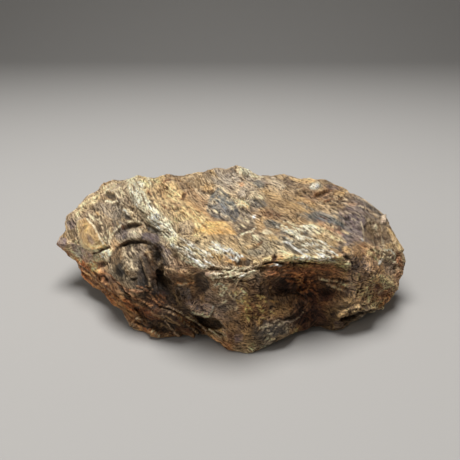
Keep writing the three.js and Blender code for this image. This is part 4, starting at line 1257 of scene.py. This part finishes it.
def dressed_stone():
    """The stone with its relief, and with the colours and coordinates that its material reads."""
    piece = fine_mesh()
    thin_unseen(piece)
    stone = Stone(piece.data)
    stone.p = stone.smooth(stone.p, 2, 0.6)
    survey = Survey(stone)
    broad = stone.smooth(stone.normals(), 12)
    broad /= np.linalg.norm(broad, axis=1, keepdims=True)
    lengthwise = np.clip(1.25 * (1 - (broad @ GRAIN) ** 2) - 0.15, 0, 1)
    g = grain_of(stone.p)
    ragged = RAGGED_PX * fractals(g / RAGGED_MM, 3, (11, 13), 0.65)
    soft = SOFT_PX * fractals(g / SOFT_MM, 3, (15, 19))
    swirl = swirl_of(stone.p)
    relief, tones = broken_relief(stone.p, g, swirl, lengthwise)
    breaks = smoothstep(-0.6, -0.15, fractal(stone.p / BREAK_MM, 2, 33))
    placed, calm = placed_relief(stone, survey, survey.pixel + ragged, breaks)
    relief = relief * (1 - calm) + placed
    on_sole = smoothstep(*SOLE_MM, stone.p[:, 2])
    stone.p = stone.p + broad * (relief * (1 - on_sole))[:, None]
    stone.p[:, 2] = np.maximum(stone.p[:, 2], 0)

    pixel = np.stack(pixel_of(stone.p)[:2], axis=1)
    tint = stained(stone, survey, pixel + ragged, pixel + soft, breaks, g, lengthwise, tones)
    vein = veined(stone, survey, pixel + soft, tint, lengthwise)
    near, far = hollowness(stone)
    # Painted shade: darker where the surface lies below its surroundings, near and far.
    painted_hollow_shade = 0.9 * smoothstep(*PAINTED_HOLLOW_SHADE_NEAR_MM, near) + 0.7 * smoothstep(*PAINTED_HOLLOW_SHADE_FAR_MM, far)
    # Paler raised edges: partly wear, partly painted highlight.
    tint = tint * (1 + EDGE_WEAR_AND_HIGHLIGHT_GAIN * smoothstep(*EDGE_WEAR_AND_HIGHLIGHT_MM, -near)[:, None])

    mesh = piece.data
    mesh.vertices.foreach_set("co", (stone.p * MM).astype(np.float32).ravel())
    mesh.update()
    keep(mesh, "tint", "FLOAT_COLOR", opaque(tint))
    keep(mesh, "vein", "FLOAT_COLOR", opaque(vein))
    keep(mesh, "grain", "FLOAT_VECTOR", g)
    keep(mesh, "swirl", "FLOAT_VECTOR", swirl)
    keep(mesh, "lengthwise", "FLOAT", lengthwise)
    keep(mesh, "painted_hollow_shade", "FLOAT", np.clip(painted_hollow_shade, 0, 1))
    keep(mesh, "calm", "FLOAT", 0.8 * calm)
    mesh.polygons.foreach_set("use_smooth", np.ones(len(mesh.polygons), bool))
    mesh.set_sharp_from_angle(angle=SHARP_EDGE)
    return piece


# ---- Material ----------------------------------------------------------------------------------

DEEP_FACTOR = (0.19, 0.14, 0.1, 1)  # how the dark fibres multiply the tint
# Painted shade in the hollows is mixed towards this colour.
PAINTED_HOLLOW_SHADE_COLOUR = (0.03, 0.018, 0.01, 1)
PALE_SHARE, DARK_SHARE, PAINTED_HOLLOW_SHADE_SHARE = 0.95, 0.9, 0.6
BUMP_M = 0.0007

# Noise of the fibres: waves to a millimetre across, along and above the grain where the wood split
# along it, waves in the swirl's coordinates where it broke across, detail, roughness and place.
FLECK_NOISE = ((1.1, 0.14, 1.1), (0.3, 0.3, 1.15), 2, 0.65, (31, 0, 5))
PIT_NOISE = ((1.2, 0.17, 1.2), (0.34, 0.34, 1.25), 2, 0.65, (3, 50, 17))
THREAD_NOISE = ((0.45, 0.05, 0.45), (0.12, 0.12, 0.5), 1, 0.5, (90, 12, 40))
HAIR_NOISE = ((0.75, 0.09, 0.75), (0.2, 0.2, 0.8), 1, 0.5, (9, 71, 2))
LAYER_NOISE = ((0.14, 0.02, 0.14), (0.12, 0.12, 0.36), 2, 0.5, (60, 5, 33))
CROWD_NOISE = ((0.12, 0.035, 0.12), 2, 0.6, (7, 3, 9))  # along the grain everywhere
LAYER_COUNT = 9.0  # layers from the noise's lowest value to its highest

# Values of the noise from which something begins to show, and at which it shows in full.
CROWDED, FLECKED, PITTED_DARK, LINED = (0.35, 0.65), (0.55, 0.59), (0.455, 0.415), (0.36, 0.52)
PALE_LAYER, DARK_LAYER = (0.78, 0.95), (0.16, 0.02)
THREAD_WIDTH, HAIR_WIDTH = 0.06, 0.08


def new_material(name):
    """A material with its nodes and links."""
    material = bpy.data.materials.new(name)
    material.use_nodes = True
    return material, material.node_tree.nodes, material.node_tree.links


def stone_material():
    """The tint of each place, crossed by pale and dark fibres, with painted shade in the hollows."""
    material, nodes, links = new_material("petrified wood")
    nodes.clear()

    def feed(socket, value):
        """Links a socket to another node's output, or sets it to a plain value."""
        if isinstance(value, bpy.types.NodeSocket):
            links.new(value, socket)
        else:
            socket.default_value = value

    def add(kind, inputs, **settings):
        """A node with these settings, and with these values or outputs fed to its inputs."""
        node = nodes.new(kind)
        for key, value in settings.items():
            setattr(node, key, value)
        for key, value in inputs.items():
            feed(node.inputs[key], value)
        return node

    def attribute(name, output):
        return add("ShaderNodeAttribute", {}, attribute_name=name).outputs[output]

    def maths(operation, *values):
        return add("ShaderNodeMath", dict(enumerate(values)), operation=operation).outputs[0]

    def mixed(factor, a, b, blend="MIX"):
        node = add("ShaderNodeMix", {}, data_type="RGBA", blend_type=blend, clamp_result=False)
        for index, value in ((0, factor), (6, a), (7, b)):
            feed(node.inputs[index], value)
        return node.outputs[2]

    def texture(over, per_mm, detail, roughness, place):
        """Noise over these coordinates, with this many waves to a millimetre each way."""
        scale = add("ShaderNodeVectorMath", {0: over, 1: per_mm, 2: place}, operation="MULTIPLY_ADD")
        settings = {"Vector": scale.outputs[0], "Scale": 1.0, "Detail": detail, "Roughness": roughness}
        return add("ShaderNodeTexNoise", settings).outputs[0]

    def ramp(value, low, high):
        limits = {"Value": value, "From Min": low, "From Max": high}
        return add("ShaderNodeMapRange", limits, interpolation_type="SMOOTHSTEP").outputs[0]

    def threads(field, width):
        """Thin wandering lines, 1 on a line and 0 between lines."""
        off_line = maths("ABSOLUTE", maths("SUBTRACT", field, 0.5))
        return ramp(off_line, width, 0.3 * width)

    def blend(a, b, share):
        """a where share is 0, b where it is 1."""
        return maths("MULTIPLY_ADD", maths("SUBTRACT", b, a), share, a)

    grain = attribute("grain", "Vector")
    swirl = attribute("swirl", "Vector")
    tint = attribute("tint", "Color")
    vein = attribute("vein", "Color")
    painted_hollow_shade = attribute("painted_hollow_shade", "Fac")
    lengthwise = attribute("lengthwise", "Fac")
    lively = maths("SUBTRACT", 1.0, attribute("calm", "Fac"))
    deep = mixed(1.0, tint, DEEP_FACTOR, "MULTIPLY")

    def fibrous(along_grain, on_ends, *kind):
        """Noise drawn out along the grain, or along the curled fibres where they broke across."""
        return blend(texture(swirl, on_ends, *kind), texture(grain, along_grain, *kind), lengthwise)

    crowded = ramp(texture(grain, *CROWD_NOISE), *CROWDED)
    fleck = fibrous(*FLECK_NOISE)
    pit = fibrous(*PIT_NOISE)
    thread = threads(fibrous(*THREAD_NOISE), THREAD_WIDTH)
    hair = threads(fibrous(*HAIR_NOISE), HAIR_WIDTH)
    lines = maths("MAXIMUM", thread, maths("MULTIPLY", hair, 0.8))
    lines = maths("MULTIPLY", lines, ramp(fleck, *LINED))
    layer = maths("FRACT", maths("MULTIPLY", fibrous(*LAYER_NOISE), LAYER_COUNT))
    flecks = ramp(maths("MULTIPLY_ADD", crowded, 0.02, fleck), *FLECKED)
    pale = maths("MAXIMUM", flecks, lines)
    pale = maths("MAXIMUM", pale, maths("MULTIPLY", ramp(layer, *PALE_LAYER), 0.5))
    pale = maths("MULTIPLY", pale, lively)
    dark = ramp(maths("MULTIPLY_ADD", crowded, 0.02, pit), *PITTED_DARK)
    dark = maths("MAXIMUM", dark, maths("MULTIPLY", ramp(layer, *DARK_LAYER), 0.5))
    dark = maths("MULTIPLY", dark, lively)
    colour = mixed(maths("MULTIPLY", pale, PALE_SHARE), tint, vein)
    colour = mixed(maths("MULTIPLY", dark, DARK_SHARE), colour, deep)
    # Painted shade in the hollows.
    colour = mixed(maths("MULTIPLY", painted_hollow_shade, PAINTED_HOLLOW_SHADE_SHARE), colour, PAINTED_HOLLOW_SHADE_COLOUR)

    height = maths("MULTIPLY_ADD", pale, 0.4, maths("MULTIPLY", dark, -0.6))
    height = maths("ADD", height, pit)
    height = maths("MULTIPLY_ADD", layer, 0.5, height)
    bump = add("ShaderNodeBump", {"Strength": 1.0, "Distance": BUMP_M, "Height": height})
    shader = add("ShaderNodeBsdfPrincipled", {
        "Base Color": colour,
        "Roughness": maths("MULTIPLY_ADD", pit, -0.5, 0.95),
        "IOR": 1.5,
        "Specular IOR Level": 0.35,
        "Normal": bump.outputs[0],
    })
    add("ShaderNodeOutputMaterial", {"Surface": shader.outputs[0]})
    return material


piece = dressed_stone()
piece.data.materials.clear()
piece.data.materials.append(stone_material())
piece.name = "petrified_wood_stone"
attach(piece, "root")
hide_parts(NODE)

# ---- Floor, light and camera -------------------------------------------------------------------

FLOOR_COLOUR = (0.42, 0.405, 0.385, 1)
FLOOR_ROUGHNESS = 0.9
FLOOR_HALF_WIDTH, FLOOR_FRONT, FLOOR_BACK = 4.0, -3.0, 1.6
BACKDROP_BEND, BACKDROP_RISE, BEND_STEPS = 0.9, 2.5, 24

# Area lights: name, place and what it aims at in metres, width in metres, watts.
LIGHTS = [
    ("sky", (-0.1, 0.1, 1.4), (0, 0, 0.05), 0.9, 24),
    ("left", (-0.9, -0.7, 0.45), (0, 0, 0.02), 0.8, 2),
]
WORLD_COLOUR = (1.0, 0.98, 0.95, 1)
WORLD_STRENGTH = 0.15
NEAREST_M = 0.01


def floor_material():
    material, nodes, _ = new_material("floor")
    shader = nodes["Principled BSDF"]
    shader.inputs["Base Color"].default_value = FLOOR_COLOUR
    shader.inputs["Roughness"].default_value = FLOOR_ROUGHNESS
    return material


def floor():
    """A floor that curves up into a backdrop behind the stone."""
    profile = [(FLOOR_FRONT, 0.0)]
    for k in range(BEND_STEPS + 1):
        turn = math.pi / 2 * k / BEND_STEPS
        y = FLOOR_BACK + BACKDROP_BEND * math.sin(turn)
        profile.append((y, BACKDROP_BEND * (1 - math.cos(turn))))
    profile.append((FLOOR_BACK + BACKDROP_BEND, BACKDROP_BEND + BACKDROP_RISE))
    vertices = [(x, y, z) for y, z in profile for x in (-FLOOR_HALF_WIDTH, FLOOR_HALF_WIDTH)]
    faces = [(2 * i, 2 * i + 1, 2 * i + 3, 2 * i + 2) for i in range(len(profile) - 1)]
    sheet = bpy.data.meshes.new("floor")
    sheet.from_pydata(vertices, [], faces)
    sheet.polygons.foreach_set("use_smooth", [True] * len(faces))
    sheet.materials.append(floor_material())
    in_scene("floor", sheet)


def area_light(name, at, aim, size, watts):
    """A round soft light."""
    lamp = bpy.data.lights.new(name, "AREA")
    lamp.shape = "DISK"
    lamp.size = size
    lamp.energy = watts
    obj = in_scene(name, lamp)
    obj.location = at
    obj.rotation_euler = (Vector(aim) - Vector(at)).to_track_quat("-Z", "Y").to_euler()


def room_light():
    """The faint light that comes from all round."""
    world = bpy.data.worlds.new("world")
    world.use_nodes = True
    background = world.node_tree.nodes["Background"]
    background.inputs["Color"].default_value = WORLD_COLOUR
    background.inputs["Strength"].default_value = WORLD_STRENGTH
    bpy.context.scene.world = world


def camera():
    """The camera, where the photographer's was."""
    lens = bpy.data.cameras.new("camera")
    lens.sensor_width = SENSOR_MM
    lens.lens = FOCAL_PX / FRAME_PX * SENSOR_MM
    lens.clip_start = NEAREST_M
    obj = in_scene("camera", lens)
    obj.location = CAMERA_MM * MM
    obj.rotation_euler = (math.pi / 2 - PITCH, 0, 0)
    bpy.context.scene.camera = obj


floor()
for light in LIGHTS:
    area_light(*light)
room_light()
camera()
bpy.context.scene.view_settings.view_transform = "Standard"
